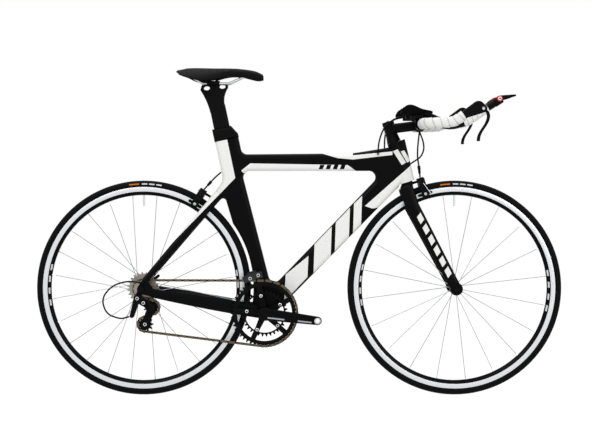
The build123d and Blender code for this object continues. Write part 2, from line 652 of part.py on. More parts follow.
# Seat collar, a cap on the seat tube whose front slopes down
with BuildPart() as seat_collar:
    with BuildSketch(Plane.XZ):
        with BuildLine():
            Polyline(
                seat(SEAT_TUBE_LENGTH, -SEAT_TUBE_REAR - 1.0),
                seat(SEAT_TUBE_LENGTH, SEAT_TUBE_FRONT_TOP + 1.0),
                seat(SEAT_TUBE_LENGTH + COLLAR_HEIGHT * 0.3, SEAT_TUBE_FRONT_TOP + 1.0),
                seat(SEAT_TUBE_LENGTH + COLLAR_HEIGHT, POST_DEPTH / 2 + 4.0),
                seat(SEAT_TUBE_LENGTH + COLLAR_HEIGHT, -SEAT_TUBE_REAR - 1.0),
                close=True,
            )
        make_face()
    extrude(amount=FRAME_WIDTH / 2 + 1.0, both=True)
    fillet(seat_collar.faces().filter_by(Axis.Y).edges(), COLLAR_ROUND)
    with BuildSketch(post_section(SEAT_TUBE_LENGTH)):
        SlotOverall(POST_DEPTH + 2 * CLEARANCE, POST_WIDTH + 2 * CLEARANCE)
    extrude(amount=2 * COLLAR_HEIGHT, mode=Mode.SUBTRACT)
pieces["seat_collar"] = seat_collar.part

# Seatpost: an oval shaft that flares into a head with two windows
POST_HEAD_REAR = (-44.0, -RAIL_DROP - 20.0)
POST_HEAD_FRONT = (42.0, -RAIL_DROP - 12.0)
POST_NECK = POST_FLARE + 35.0
RAIL_SEAT = -RAIL_DROP - RAIL_RADIUS - CLEARANCE
with BuildPart() as seatpost:
    with BuildSketch(post_section(SEAT_TUBE_LENGTH - POST_INSERTION + CLEARANCE)):
        SlotOverall(POST_DEPTH, POST_WIDTH)
    extrude(amount=POST_INSERTION + POST_FLARE - SEAT_TUBE_LENGTH + 18.0)
    with BuildSketch(Plane.XZ) as head:
        with BuildLine():
            Spline(seat(POST_FLARE, -POST_DEPTH / 2), seat(POST_NECK, -POST_DEPTH / 2 - 4.0), POST_HEAD_REAR)
            Line(POST_HEAD_REAR, (POST_HEAD_REAR[0] + 5.0, RAIL_SEAT))
            Line((POST_HEAD_REAR[0] + 5.0, RAIL_SEAT), (POST_HEAD_FRONT[0], RAIL_SEAT))
            Line((POST_HEAD_FRONT[0], RAIL_SEAT), POST_HEAD_FRONT)
            Spline(POST_HEAD_FRONT, seat(POST_NECK, POST_DEPTH / 2 + 1.0), seat(POST_FLARE, POST_DEPTH / 2))
            Line(seat(POST_FLARE, POST_DEPTH / 2), seat(POST_FLARE, -POST_DEPTH / 2))
        make_face()
        with Locations(moved(POST_HEAD_REAR, 20.0, 6.0), moved(POST_HEAD_FRONT, -17.0, 3.0)):
            Ellipse(*POST_WINDOW, mode=Mode.SUBTRACT)
    extrude(amount=POST_WIDTH / 2, both=True)
pieces["seatpost"] = seatpost.part

# Saddle: rails, shell and pad, lofted through the same stations
RAIL_FRONT = 98.0
RAIL_REAR = -68.0
with BuildPart() as saddle_rails:
    for hand in (1, -1):
        y = hand * RAIL_SPACING / 2
        with BuildLine() as rail:
            FilletPolyline(
                (RAIL_FRONT, y * 0.25, -RAIL_DROP + 24.2),
                (46.0, y, -RAIL_DROP),
                (-36.0, y, -RAIL_DROP),
                (RAIL_REAR, y * 1.4, -RAIL_DROP + 20.0),
                radius=20.0,
            )
        with BuildSketch(Plane(origin=rail.line @ 0, z_dir=rail.line % 0)):
            Circle(RAIL_RADIUS)
        sweep()
pieces["saddle_rails"] = saddle_rails.part

with BuildPart() as saddle_clamp:
    with BuildSketch(Plane.XY.offset(RAIL_SEAT + CLEARANCE / 3)):
        with Locations((POST_HEAD_FRONT[0] - 45.0, 0)):
            RectangleRounded(40.0, RAIL_SPACING + 14.0, 5.0)
    extrude(amount=2 * RAIL_RADIUS + 4.0)
    for hand in (1, -1):
        with BuildSketch(Plane.YZ.offset(RAIL_REAR)):
            with Locations((hand * RAIL_SPACING / 2, -RAIL_DROP)):
                Circle(RAIL_RADIUS + CLEARANCE / 3)
        extrude(amount=RAIL_FRONT - RAIL_REAR, mode=Mode.SUBTRACT)
pieces["saddle_clamp"] = saddle_clamp.part

# Stations along the saddle: place, half width, height of the edge and of the crown
SADDLE_STATIONS = (
    (-118.0, 44.0, -12.0, -2.0),
    (-84.0, 65.0, -27.0, 1.0),
    (-44.0, 70.0, -42.0, 1.0),
    (0.0, 50.0, -38.0, 0.0),
    (38.0, 30.0, -29.0, 0.0),
    (82.0, 22.0, -28.0, -1.0),
    (126.0, 19.0, -38.0, -6.0),
    (153.0, 13.0, -37.0, -16.0),
)


def saddle_skin(inset, drop, thickness):
    """Lofted arch through the saddle's stations, set in and below its top."""
    with BuildPart() as skin:
        for place, half, edge, crown in SADDLE_STATIONS:
            reach = half - inset
            lip = min(thickness, reach / 3)
            with BuildSketch(Plane.YZ.offset(place)):
                with BuildLine():
                    ThreePointArc((-reach, edge), (0, crown - drop), (reach, edge))
                    Line((reach, edge), (reach - lip, edge))
                    ThreePointArc((reach - lip, edge), (0, crown - drop - thickness), (lip - reach, edge))
                    Line((lip - reach, edge), (-reach, edge))
                make_face()
        loft()
    return skin.part


pieces["saddle_pad"] = saddle_skin(0.0, 0.0, SADDLE_PAD_THICKNESS)
pieces["saddle_shell"] = saddle_skin(
    SADDLE_PAD_THICKNESS, SADDLE_PAD_THICKNESS + 2 * CLEARANCE, SADDLE_SHELL_THICKNESS
)

# Fork: steerer, crown and two blades that bow forward to the tips
STEERER_TOP = HEAD_TOP + SPACER_HEIGHT + STEM_CLAMP_HEIGHT
BLADE_OFFSET = FRONT_HUB_WIDTH / 2 + BLADE_TIP_WIDTH / 2
CROWN_OFFSET = TYRE_WIDTH / 2 + 8.0 + BLADE_WIDTH / 2
CROWN_TOP = HEAD_TUBE_BOTTOM - CROWN_RACE
BLADE_SETBACK = 8.0
BLADE_TOP = steer(CROWN_TOP - CROWN_DEPTH + 3.0, -BLADE_SETBACK)
BLADE_BEND = steer(HEAD_TUBE_BOTTOM - 75.0, -BLADE_SETBACK)
BLADE_END = around(FRONT_AXLE, FORK_TIP_RADIUS * 0.5, 115.0)
with BuildPart() as fork:
    with BuildSketch(steer_section(CROWN_TOP - CROWN_DEPTH)):
        with Locations((0, BLADE_SETBACK)):
            SlotOverall(2 * CROWN_OFFSET + BLADE_WIDTH, BLADE_CHORD)
    with BuildSketch(steer_section(CROWN_TOP)):
        SlotOverall(2 * CROWN_TOP_RADIUS + 0.5, 2 * CROWN_TOP_RADIUS)
    loft()
    with BuildSketch(steer_section(CROWN_TOP - 1.0)):
        Circle(CROWN_TOP_RADIUS - 1.0)
    extrude(amount=HEAD_TUBE_BOTTOM - CLEARANCE - CROWN_TOP + 1.0)
    with BuildSketch(steer_section(CROWN_TOP - 1.0)):
        Circle(STEERER_RADIUS)
    extrude(amount=STEERER_TOP - CROWN_TOP + 1.0)
    for hand in (1, -1):
        stations = (
            (BLADE_TOP, CROWN_OFFSET, BLADE_CHORD, BLADE_WIDTH),
            (BLADE_BEND, CROWN_OFFSET + 6.0, BLADE_CHORD, BLADE_WIDTH),
            (BLADE_END, BLADE_OFFSET, BLADE_TIP_CHORD, BLADE_TIP_WIDTH),
        )
        for (first, offset, chord, width), (second, next_offset, next_chord, next_width) in zip(
            stations, stations[1:]
        ):
            start = space(first, hand * offset)
            end = space(second, hand * next_offset)
            plane = across(start, end)
            with BuildSketch(plane):
                Ellipse(chord / 2, width / 2)
            with BuildSketch(Plane(origin=end, x_dir=plane.x_dir, z_dir=plane.z_dir)):
                Ellipse(next_chord / 2, next_width / 2)
            loft()
        with BuildSketch(side(max(hand * FRONT_HUB_WIDTH / 2, hand * (FRONT_HUB_WIDTH / 2 + BLADE_TIP_WIDTH)))):
            with Locations(FRONT_AXLE):
                Circle(FORK_TIP_RADIUS)
        extrude(amount=BLADE_TIP_WIDTH)
    with BuildSketch(side(FRONT_HUB_WIDTH)):
        with Locations(FRONT_AXLE):
            Circle(SKEWER_RADIUS + CLEARANCE)
    extrude(amount=2 * FRONT_HUB_WIDTH, mode=Mode.SUBTRACT)
pieces["fork"] = fork.part

# Headset spacer, stem and base bar
with BuildPart() as headset_spacer:
    with BuildSketch(steer_section(HEAD_TOP + CLEARANCE)):
        Circle(HEAD_TUBE_RADIUS)
    with BuildSketch(steer_section(HEAD_TOP + SPACER_HEIGHT)):
        Circle(STEERER_RADIUS + 4.0)
    loft()
    with BuildSketch(steer_section(HEAD_TOP)):
        Circle(STEERER_RADIUS)
    extrude(amount=SPACER_HEIGHT, mode=Mode.SUBTRACT)
pieces["headset_spacer"] = headset_spacer.part

STEM_BASE = HEAD_TOP + SPACER_HEIGHT
STEM_MIDDLE = steer(STEM_BASE + STEM_CLAMP_HEIGHT / 2, 0)
with BuildPart() as stem:
    with BuildSketch(steer_section(STEM_BASE)):
        Circle(STEERER_RADIUS + 4.5)
    extrude(amount=STEM_CLAMP_HEIGHT)
    start = space(STEM_MIDDLE, 0)
    end = space(BAR, 0)
    plane = across(start, end)
    with BuildSketch(plane):
        RectangleRounded(30.0, 34.0, 10.0)
    with BuildSketch(Plane(origin=end, x_dir=plane.x_dir, z_dir=plane.z_dir)):
        RectangleRounded(30.0, STEM_WIDTH - 1.0, 10.0)
    loft()
    with BuildSketch(side(STEM_WIDTH / 2)):
        with Locations(BAR):
            Circle(BAR_CLAMP_RADIUS + 5.0)
    extrude(amount=STEM_WIDTH)
    with BuildSketch(side(STEM_WIDTH)):
        with Locations(BAR):
            Circle(BAR_CLAMP_RADIUS)
    extrude(amount=2 * STEM_WIDTH, mode=Mode.SUBTRACT)
    with BuildSketch(steer_section(STEM_BASE)):
        Circle(STEERER_RADIUS)
    extrude(amount=2 * STEM_CLAMP_HEIGHT, mode=Mode.SUBTRACT)
    with BuildSketch(steer_section(STEERER_TOP)):
        Circle(STEERER_RADIUS + 4.0)
    extrude(amount=4.0)
pieces["stem"] = stem.part

HORN_BEND = moved(BAR, 86.0, 3.0)
HORN_TIP = moved(BAR, 128.0, 30.0)
with BuildPart() as base_bar:
    with BuildLine() as bar_path:
        FilletPolyline(
            space(HORN_TIP, BAR_HALF_WIDTH),
            space(HORN_BEND, BAR_HALF_WIDTH),
            space(BAR, BAR_HALF_WIDTH),
            space(BAR, -BAR_HALF_WIDTH),
            space(HORN_BEND, -BAR_HALF_WIDTH),
            space(HORN_TIP, -BAR_HALF_WIDTH),
            radius=[60.0, 35.0, 35.0, 60.0],
        )
    with BuildSketch(Plane(origin=bar_path.line @ 0, z_dir=bar_path.line % 0)):
        Circle(BAR_RADIUS)
    sweep()
    with BuildSketch(side(STEM_WIDTH / 2 + BAR_SLEEVE)):
        with Locations(BAR):
            Circle(BAR_CLAMP_RADIUS)
    extrude(amount=STEM_WIDTH + 2 * BAR_SLEEVE)
pieces["base_bar"] = base_bar.part

TAPE_RADIUS = BAR_RADIUS + TAPE_THICKNESS
TAPE_END = between(HORN_BEND, HORN_TIP, 0.7)
with BuildPart() as bar_tape:
    for hand in (1, -1):
        with BuildLine() as tape_path:
            FilletPolyline(
                space(TAPE_END, hand * BAR_HALF_WIDTH),
                space(HORN_BEND, hand * BAR_HALF_WIDTH),
                space(BAR, hand * BAR_HALF_WIDTH),
                space(BAR, hand * (BAR_HALF_WIDTH - 70.0)),
                radius=[60.0, 35.0],
            )
        with BuildSketch(Plane(origin=tape_path.line @ 0, z_dir=tape_path.line % 0)):
            Circle(TAPE_RADIUS)
            Circle(BAR_RADIUS, mode=Mode.SUBTRACT)
        sweep()
pieces["bar_tape"] = bar_tape.part

# Brake levers: a hood over each horn's end, with a blade that bends forward and back
HOOD_WIDTH = 24.0
HOOD_ROUND = 6.0
HOOD_KNUCKLE = moved(BAR, 160.0, 47.0)
HOOD_KNUCKLE_RADIUS = 19.0
LEVER_PIVOT = moved(BAR, 174.0, 43.0)
LEVER_PIVOT_RADIUS = 12.0
LEVER_POINTS = ((180.0, 40.0), (190.0, 22.0), (184.0, 0.0), (167.0, -27.0), (160.0, -54.0))
LEVER_HALF_DEPTH = 4.5
LEVER_WIDTH = 10.0
for hand, name in ((1, "left"), (-1, "right")):
    with BuildPart() as brake_lever:
        with BuildSketch(side(hand * BAR_HALF_WIDTH + HOOD_WIDTH / 2)):
            with Locations(HORN_TIP):
                Circle(TAPE_RADIUS - 3.0)
            with Locations(HOOD_KNUCKLE):
                Circle(HOOD_KNUCKLE_RADIUS)
            with Locations(LEVER_PIVOT):
                Circle(LEVER_PIVOT_RADIUS)
            make_hull()
        extrude(amount=HOOD_WIDTH)
        fillet(brake_lever.faces().filter_by(Axis.Y).edges(), HOOD_ROUND)
        with BuildSketch(side(hand * BAR_HALF_WIDTH + LEVER_WIDTH / 2)):
            front = [moved(BAR, ahead + LEVER_HALF_DEPTH, above) for ahead, above in LEVER_POINTS]
            rear = [moved(BAR, ahead - LEVER_HALF_DEPTH, above) for ahead, above in reversed(LEVER_POINTS)]
            with BuildLine():
                Spline(*front)
                Line(front[-1], rear[0])
                Spline(*rear)
                Line(rear[-1], front[0])
            make_face()
        extrude(amount=LEVER_WIDTH)
        add(pieces["base_bar"], mode=Mode.SUBTRACT)
    pieces[f"brake_lever_{name}"] = brake_lever.part

# Aero extensions over the base bar, each with a shifter in its end
EXTENSION_RISE = BAR_RADIUS + EXTENSION_RADIUS + 4.0
EXTENSION_REAR = moved(BAR, -46.0, EXTENSION_RISE)
EXTENSION_DIP_START = moved(BAR, 26.0, EXTENSION_RISE)
EXTENSION_BEND = moved(BAR, 112.0, -10.0)
EXTENSION_TIP = moved(BAR, 228.0, 66.0)
SHIFTER_LENGTH = 26.0
SHIFT_LEVER_WIDTH = 7.0
for hand, name in ((1, "left"), (-1, "right")):
    y = hand * EXTENSION_SPACING / 2
    with BuildPart() as extension:
        with BuildLine() as extension_path:
            FilletPolyline(
                space(EXTENSION_REAR, y),
                space(EXTENSION_DIP_START, y),
                space(EXTENSION_BEND, y),
                space(EXTENSION_TIP, y),
                radius=[60.0, 80.0],
            )
        with BuildSketch(Plane(origin=extension_path.line @ 0, z_dir=extension_path.line % 0)):
            Circle(EXTENSION_RADIUS)
        sweep()
    pieces[f"extension_{name}"] = extension.part
    with BuildPart() as shifter:
        ahead = (Vector(*space(EXTENSION_TIP, 0)) - Vector(*space(EXTENSION_BEND, 0))).normalized()
        start = Vector(*space(EXTENSION_TIP, y))
        with BuildSketch(Plane(origin=start, z_dir=ahead)):
            Circle(EXTENSION_RADIUS + 1.5)
        extrude(amount=SHIFTER_LENGTH)
        with BuildSketch(side(y + SHIFT_LEVER_WIDTH / 2)):
            with Locations(moved(EXTENSION_TIP, 21.0, 17.0)):
                Circle(8.0)
            with Locations(moved(EXTENSION_TIP, 64.0, 25.0)):
                Circle(3.0)
            make_hull()
        extrude(amount=SHIFT_LEVER_WIDTH)
    pieces[f"shifter_{name}"] = shifter.part

# Arm rests: brackets on the bar, each with a padded cup, high at the elbow and low in front
PAD_CENTRE = moved(BAR, -16.5, EXTENSION_RISE)
PAD_LENGTH = 101.0
PAD_WIDTH = 84.0
PAD_HEIGHT = 26.0
PAD_LIP = (9.0, 4.0)
PAD_THICKNESS = 10.0
PAD_PROFILE = ((-50.5, 6.0), (-38.0, 23.0), (-22.0, 30.5), (-2.0, 22.0), (22.0, 12.5), (50.5, 9.0))
BRACKET_WIDTH = 28.0
BRACKET_WALL = 5.0
CRADLE_RISE = 3.0
PLATE_THICKNESS = 8.0
PLATE_LENGTH = 36.0
PLATE_INNER = EXTENSION_SPACING / 2 + 7.0
PLATE_OUTER = PAD_SPACING / 2 + 15.0
with BuildPart() as pad_brackets:
    for hand in (1, -1):
        y = hand * EXTENSION_SPACING / 2
        with BuildSketch(side(y + BRACKET_WIDTH / 2)):
            with Locations(BAR):
                Circle(BAR_RADIUS + BRACKET_WALL)
            with Locations(moved(BAR, 0, EXTENSION_RISE)):
                Circle(EXTENSION_RADIUS + BRACKET_WALL)
            make_hull()
        extrude(amount=BRACKET_WIDTH)
        split(bisect_by=Plane.XY.offset(BAR[1] + EXTENSION_RISE + CRADLE_RISE), keep=Keep.BOTTOM)
        with BuildSketch(Plane.XY.offset(PAD_CENTRE[1] - PLATE_THICKNESS)):
            with Locations((PAD_CENTRE[0], hand * (PLATE_INNER + PLATE_OUTER) / 2)):
                RectangleRounded(PLATE_LENGTH, PLATE_OUTER - PLATE_INNER, 2.0)
        extrude(amount=PLATE_THICKNESS)
        with BuildSketch(side(y + BRACKET_WIDTH)):
            with Locations(BAR):
                Circle(BAR_RADIUS)
        extrude(amount=2 * BRACKET_WIDTH, mode=Mode.SUBTRACT)
        with BuildSketch(Plane(origin=space(moved(BAR, -BRACKET_WIDTH * 2, EXTENSION_RISE), y), z_dir=(1, 0, 0))):
            Circle(EXTENSION_RADIUS + CLEARANCE)
        extrude(amount=4 * BRACKET_WIDTH, mode=Mode.SUBTRACT)
pieces["pad_brackets"] = pad_brackets.part

with BuildPart() as arm_pads:
    for hand in (1, -1):
        y = hand * PAD_SPACING / 2
        with BuildPart() as pad:
            low = PAD_CENTRE[1] + CLEARANCE
            rim_height = low + PAD_HEIGHT
            lip_reach = PAD_WIDTH / 2 - PAD_LIP[0]
            lip_height = rim_height + PAD_LIP[1]
            with BuildSketch(Plane.YZ.offset(PAD_CENTRE[0] - PAD_LENGTH / 2)):
                with BuildLine():
                    ThreePointArc((y - PAD_WIDTH / 2, rim_height), (y, low), (y + PAD_WIDTH / 2, rim_height))
                    Line((y + PAD_WIDTH / 2, rim_height), (y + lip_reach, lip_height))
                    ThreePointArc((y + lip_reach, lip_height), (y, low + PAD_THICKNESS), (y - lip_reach, lip_height))
                    Line((y - lip_reach, lip_height), (y - PAD_WIDTH / 2, rim_height))
                make_face()
            extrude(amount=PAD_LENGTH)
            top = [moved(PAD_CENTRE, ahead, above) for ahead, above in PAD_PROFILE]
            with BuildSketch(side(y + PAD_WIDTH)):
                with BuildLine():
                    Spline(*top)
                    Line(top[-1], moved(PAD_CENTRE, PAD_LENGTH / 2, 0))
                    Line(moved(PAD_CENTRE, PAD_LENGTH / 2, 0), moved(PAD_CENTRE, -PAD_LENGTH / 2, 0))
                    Line(moved(PAD_CENTRE, -PAD_LENGTH / 2, 0), top[0])
                make_face()
            extrude(amount=2 * PAD_WIDTH, mode=Mode.INTERSECT)
pieces["arm_pads"] = arm_pads.part

# Crankset: spindle, two arms, spider, two chainrings and their bolts
SPINDLE_HALF = CRANK_INSET + CRANK_THICKNESS - 2.0
with BuildPart() as crank_spindle:
    with BuildSketch(side(SPINDLE_HALF)):
        with Locations(CRANK):
            Circle(SPINDLE_RADIUS)
    extrude(amount=2 * SPINDLE_HALF)
pieces["crank_spindle"] = crank_spindle.part

SPIDER_OUTER = CHAIN_LINE - RING_THICKNESS / 2
SPIDER_INNER = SPIDER_OUTER - RING_GAP + RING_THICKNESS
for hand, name, turn in ((1, "left", CRANK_ANGLE + 180), (-1, "right", CRANK_ANGLE)):
    with BuildPart() as crank:
        eye = around(CRANK, CRANK_LENGTH, turn)
        outer = max(hand * CRANK_INSET, hand * (CRANK_INSET + CRANK_THICKNESS))
        with BuildSketch(side(outer)):
            with Locations(CRANK):
                Circle(CRANK_BOSS_RADIUS)
            with Locations(eye):
                Circle(CRANK_EYE_RADIUS)
            make_hull()
        extrude(amount=CRANK_THICKNESS)
        fillet(crank.faces().filter_by(Axis.Y).edges(), 4.0)
        if name == "right":
            with BuildSketch(side(-SPIDER_INNER)):
                with Locations(CRANK):
                    Circle(CRANK_BOSS_RADIUS)
            extrude(amount=CRANK_INSET + 4.0 - SPIDER_INNER)
            with BuildSketch(side(-SPIDER_INNER)):
                for arm in range(SPIDER_ARMS):
                    bolt = around(CRANK, RING_BOLT_RADIUS, SPIDER_ANGLE + arm * 360 / SPIDER_ARMS)
                    with BuildSketch(mode=Mode.ADD):
                        with Locations(CRANK):
                            Circle(11.0)
                        with Locations(bolt):
                            Circle(7.5)
                        make_hull()
            extrude(amount=SPIDER_OUTER - SPIDER_INNER)
        else:
            with BuildSketch(side(CRANK_INSET + 4.0)):
                with Locations(CRANK):
                    Circle(CRANK_BOSS_RADIUS)
            extrude(amount=CRANK_INSET + 4.0 - CRANK_SHELL_WIDTH / 2 - CRANK_CUP_WIDTH - 0.5)
        with BuildSketch(side(2 * CRANK_INSET)):
            with Locations(CRANK):
                Circle(SPINDLE_RADIUS)
            with Locations(eye):
                Circle(PEDAL_THREAD_RADIUS)
            if name == "right":
                for arm in range(SPIDER_ARMS):
                    with Locations(around(CRANK, RING_BOLT_RADIUS, SPIDER_ANGLE + arm * 360 / SPIDER_ARMS)):
                        Circle(4.0)
        extrude(amount=4 * CRANK_INSET, mode=Mode.SUBTRACT)
    pieces[f"crank_{name}"] = crank.part

for name, teeth, face, inner in (
    ("chainring_large", RING_TEETH, SPIDER_OUTER, 85.0),
    ("chainring_small", SMALL_RING_TEETH, SPIDER_INNER - RING_THICKNESS, 60.0),
):
    with BuildPart() as chainring:
        with BuildSketch(side(-face)):
            with BuildLine():
                Polyline(*sprocket(CRANK, teeth), close=True)
            make_face()
            with Locations(CRANK):
                Circle(inner, mode=Mode.SUBTRACT)
            for arm in range(SPIDER_ARMS):
                turn = SPIDER_ANGLE + arm * 360 / SPIDER_ARMS
                with BuildSketch(mode=Mode.ADD):
                    with Locations(around(CRANK, RING_BOLT_RADIUS, turn)):
                        Circle(8.0)
                    with Locations(around(CRANK, inner, turn)):
                        Circle(8.0)
                    make_hull()
                with Locations(around(CRANK, RING_BOLT_RADIUS, turn)):
                    Circle(4.0, mode=Mode.SUBTRACT)
        extrude(amount=RING_THICKNESS)
    pieces[name] = chainring.part

with BuildPart() as chainring_bolts:
    for arm in range(SPIDER_ARMS):
        bolt = around(CRANK, RING_BOLT_RADIUS, SPIDER_ANGLE + arm * 360 / SPIDER_ARMS)
        with BuildSketch(side(-SPIDER_INNER + RING_THICKNESS)):
            with Locations(bolt):
                Circle(4.0 - CLEARANCE / 2)
        extrude(amount=RING_GAP + RING_THICKNESS)
        with BuildSketch(side(-SPIDER_OUTER - RING_THICKNESS)):
            with Locations(bolt):
                Circle(6.0)
        extrude(amount=1.6)
pieces["chainring_bolts"] = chainring_bolts.part

# Cassette: toothed cogs on one sleeve round the rear axle
COG_LINE = CHAIN_LINE + DRIVE_COG * COG_SPACING
CASSETTE_INNER = COG_LINE - (len(COG_TEETH) - 1) * COG_SPACING
with BuildPart() as cassette:
    with BuildSketch(side(-CASSETTE_INNER + COG_THICKNESS / 2)):
        with Locations(REAR_AXLE):
            Circle(COG_SLEEVE_RADIUS)
            Circle(AXLE_RADIUS + CLEARANCE, mode=Mode.SUBTRACT)
    extrude(amount=REAR_HUB_WIDTH / 2 - CASSETTE_INNER + COG_THICKNESS / 2 - CLEARANCE)
    for number, teeth in enumerate(COG_TEETH):
        with BuildSketch(side(-COG_LINE + number * COG_SPACING + COG_THICKNESS / 2)):
            with BuildLine():
                Polyline(*sprocket(REAR_AXLE, teeth), close=True)
            make_face()
            with Locations(REAR_AXLE):
                Circle(COG_SLEEVE_RADIUS - 2.0, mode=Mode.SUBTRACT)
        extrude(amount=COG_THICKNESS)
pieces["cassette"] = cassette.part

# Chain: a closed loop round ring, cog and two pulleys, as two rows of plates
GUIDE_PULLEY = moved(REAR_AXLE, 30.0, -57.0)
TENSION_PULLEY = moved(REAR_AXLE, 9.0, -109.0)
LOOP = (
    (CRANK, pitch_radius(RING_TEETH), -1),
    (TENSION_PULLEY, pitch_radius(PULLEY_TEETH), -1),
    (GUIDE_PULLEY, pitch_radius(PULLEY_TEETH), 1),
    (REAR_AXLE, pitch_radius(COG_TEETH[DRIVE_COG]), -1),
)


def tangent_normal(first, second):
    """Angle of the normal, on the chain's outer side, of the run from one wheel to the next."""
    (a, ra, turn_a), (b, rb, turn_b) = first, second
    heading = degrees(atan2(b[1] - a[1], b[0] - a[0]))
    reach = hypot(b[0] - a[0], b[1] - a[1])
    return heading + degrees(acos((-turn_a * ra + turn_b * rb) / reach))


def chain_outline(grow):
    """Closed loop of runs and arcs, offset outwards by a distance."""
    normals = [tangent_normal(wheel, LOOP[(number + 1) % len(LOOP)]) for number, wheel in enumerate(LOOP)]
    for number, (centre, radius, turn) in enumerate(LOOP):
        arrive = normals[number - 1]
        leave = normals[number]
        reach = -turn * radius + grow
        start = around(centre, reach, arrive)
        end = around(centre, reach, leave)
        sweep_angle = (leave - arrive) * turn % 360 * turn
        ThreePointArc(start, around(centre, reach, arrive + sweep_angle / 2), end)
        following, next_radius, next_turn = LOOP[(number + 1) % len(LOOP)]
        Line(end, around(following, -next_turn * next_radius + grow, leave))


with BuildPart() as chain:
    for hand in (1, -1):
        inner = -CHAIN_LINE + hand * CHAIN_GAP / 2
        with BuildSketch(side(max(inner, inner + hand * CHAIN_PLATE))):
            with BuildLine():
                chain_outline(CHAIN_HEIGHT / 2)
            make_face()
            with BuildLine():
                chain_outline(-CHAIN_HEIGHT / 2)
            make_face(mode=Mode.SUBTRACT)
        extrude(amount=CHAIN_PLATE)
pieces["chain"] = chain.part

# Rear derailleur: body on the hanger, cage and two pulleys
CAGE_PLATE = 2.0
CAGE_INNER = CHAIN_LINE - CHAIN_GAP / 2 - CHAIN_PLATE - 2.0
CAGE_OUTER = CHAIN_LINE + CHAIN_GAP / 2 + CHAIN_PLATE + 2.0
PULLEY_PIN_RADIUS = 3.0
with BuildPart() as derailleur_cage:
    for face in (CAGE_INNER - CAGE_PLATE, CAGE_OUTER):
        with BuildSketch(side(-face)):
            with Locations(GUIDE_PULLEY):
                Circle(13.0)
            with Locations(TENSION_PULLEY):
                Circle(11.0)
            make_hull()
        extrude(amount=CAGE_PLATE)
    with BuildSketch(side(-CAGE_INNER)):
        with Locations(GUIDE_PULLEY, TENSION_PULLEY):
            Circle(PULLEY_PIN_RADIUS)
    extrude(amount=CAGE_OUTER - CAGE_INNER)
pieces["derailleur_cage"] = derailleur_cage.part

with BuildPart() as derailleur_pulleys:
    for centre in (GUIDE_PULLEY, TENSION_PULLEY):
        with BuildSketch(side(-CHAIN_LINE + COG_THICKNESS / 2)):
            with BuildLine():
                Polyline(*sprocket(centre, PULLEY_TEETH), close=True)
            make_face()
            with Locations(centre):
                Circle(PULLEY_PIN_RADIUS + CLEARANCE, mode=Mode.SUBTRACT)
        extrude(amount=COG_THICKNESS)
pieces["derailleur_pulleys"] = derailleur_pulleys.part

KNUCKLE_RADIUS = 11.0
BODY_INNER = DROPOUT_OUTER + CLEARANCE
BODY_OUTER = BODY_INNER + 13.0
ADJUSTER = moved(REAR_AXLE, -28.0, -80.0)
ADJUSTER_RADIUS = 7.0
with BuildPart() as derailleur_body:
    with BuildSketch(side(-BODY_INNER)):
        with Locations(HANGER):
            Circle(KNUCKLE_RADIUS)
        with Locations(between(HANGER, GUIDE_PULLEY, 0.45)):
            Circle(KNUCKLE_RADIUS - 1.0)
        make_hull()
    extrude(amount=BODY_OUTER - BODY_INNER)
    with BuildSketch(side(-BODY_INNER)):
        with Locations(HANGER):
            Circle(KNUCKLE_RADIUS - 1.0)
        with Locations(ADJUSTER):
            Circle(ADJUSTER_RADIUS)
        make_hull()
    extrude(amount=BODY_OUTER - BODY_INNER)
    with BuildSketch(side(-CAGE_OUTER - CAGE_PLATE)):
        with Locations(GUIDE_PULLEY):
            Circle(KNUCKLE_RADIUS)
        with Locations(between(HANGER, GUIDE_PULLEY, 0.45)):
            Circle(KNUCKLE_RADIUS - 1.0)
        make_hull()
    extrude(amount=BODY_INNER + 4.0 - CAGE_OUTER - CAGE_PLATE)
    with BuildSketch(side(-DROPOUT_INNER)):
        with Locations(HANGER):
            Circle(HANGER_BOLT_RADIUS)
    extrude(amount=BODY_INNER - DROPOUT_INNER)
pieces["derailleur_body"] = derailleur_body.part

# Front derailleur: a cage of two plates round the upper run, on an arm from the seat tube
FRONT_CAGE_REACH = pitch_radius(RING_TEETH) + 9.0
FRONT_CAGE_DEPTH = 20.0
FRONT_CAGE_HALF = 8.5
with BuildPart() as front_derailleur:
    for face in (CHAIN_LINE - FRONT_CAGE_HALF, CHAIN_LINE + FRONT_CAGE_HALF - 1.5):
        with BuildSketch(side(-face)):
            with BuildLine():
                low = FRONT_CAGE_REACH
                high = FRONT_CAGE_REACH + FRONT_CAGE_DEPTH
                ThreePointArc(around(CRANK, low, 92.0), around(CRANK, low, 108.0), around(CRANK, low, 124.0))
                Line(around(CRANK, low, 124.0), around(CRANK, high, 122.0))
                ThreePointArc(around(CRANK, high, 122.0), around(CRANK, high, 108.0), around(CRANK, high, 94.0))
                Line(around(CRANK, high, 94.0), around(CRANK, low, 92.0))
            make_face()
        extrude(amount=1.5)
    with BuildSketch(side(-CHAIN_LINE + FRONT_CAGE_HALF)):
        with Locations(around(CRANK, FRONT_CAGE_REACH + FRONT_CAGE_DEPTH - 2.0, 108.0)):
            Rectangle(24.0, 3.0, rotation=18.0)
    extrude(amount=2 * FRONT_CAGE_HALF)
    with BuildSketch(side(-FRAME_WIDTH / 2 - CLEARANCE)):
        with Locations(around(CRANK, FRONT_CAGE_REACH + FRONT_CAGE_DEPTH - 6.0, 108.0)):
            RectangleRounded(30.0, 22.0, 4.0, rotation=18.0)
    extrude(amount=CHAIN_LINE - FRONT_CAGE_HALF - FRAME_WIDTH / 2)
pieces["front_derailleur"] = front_derailleur.part

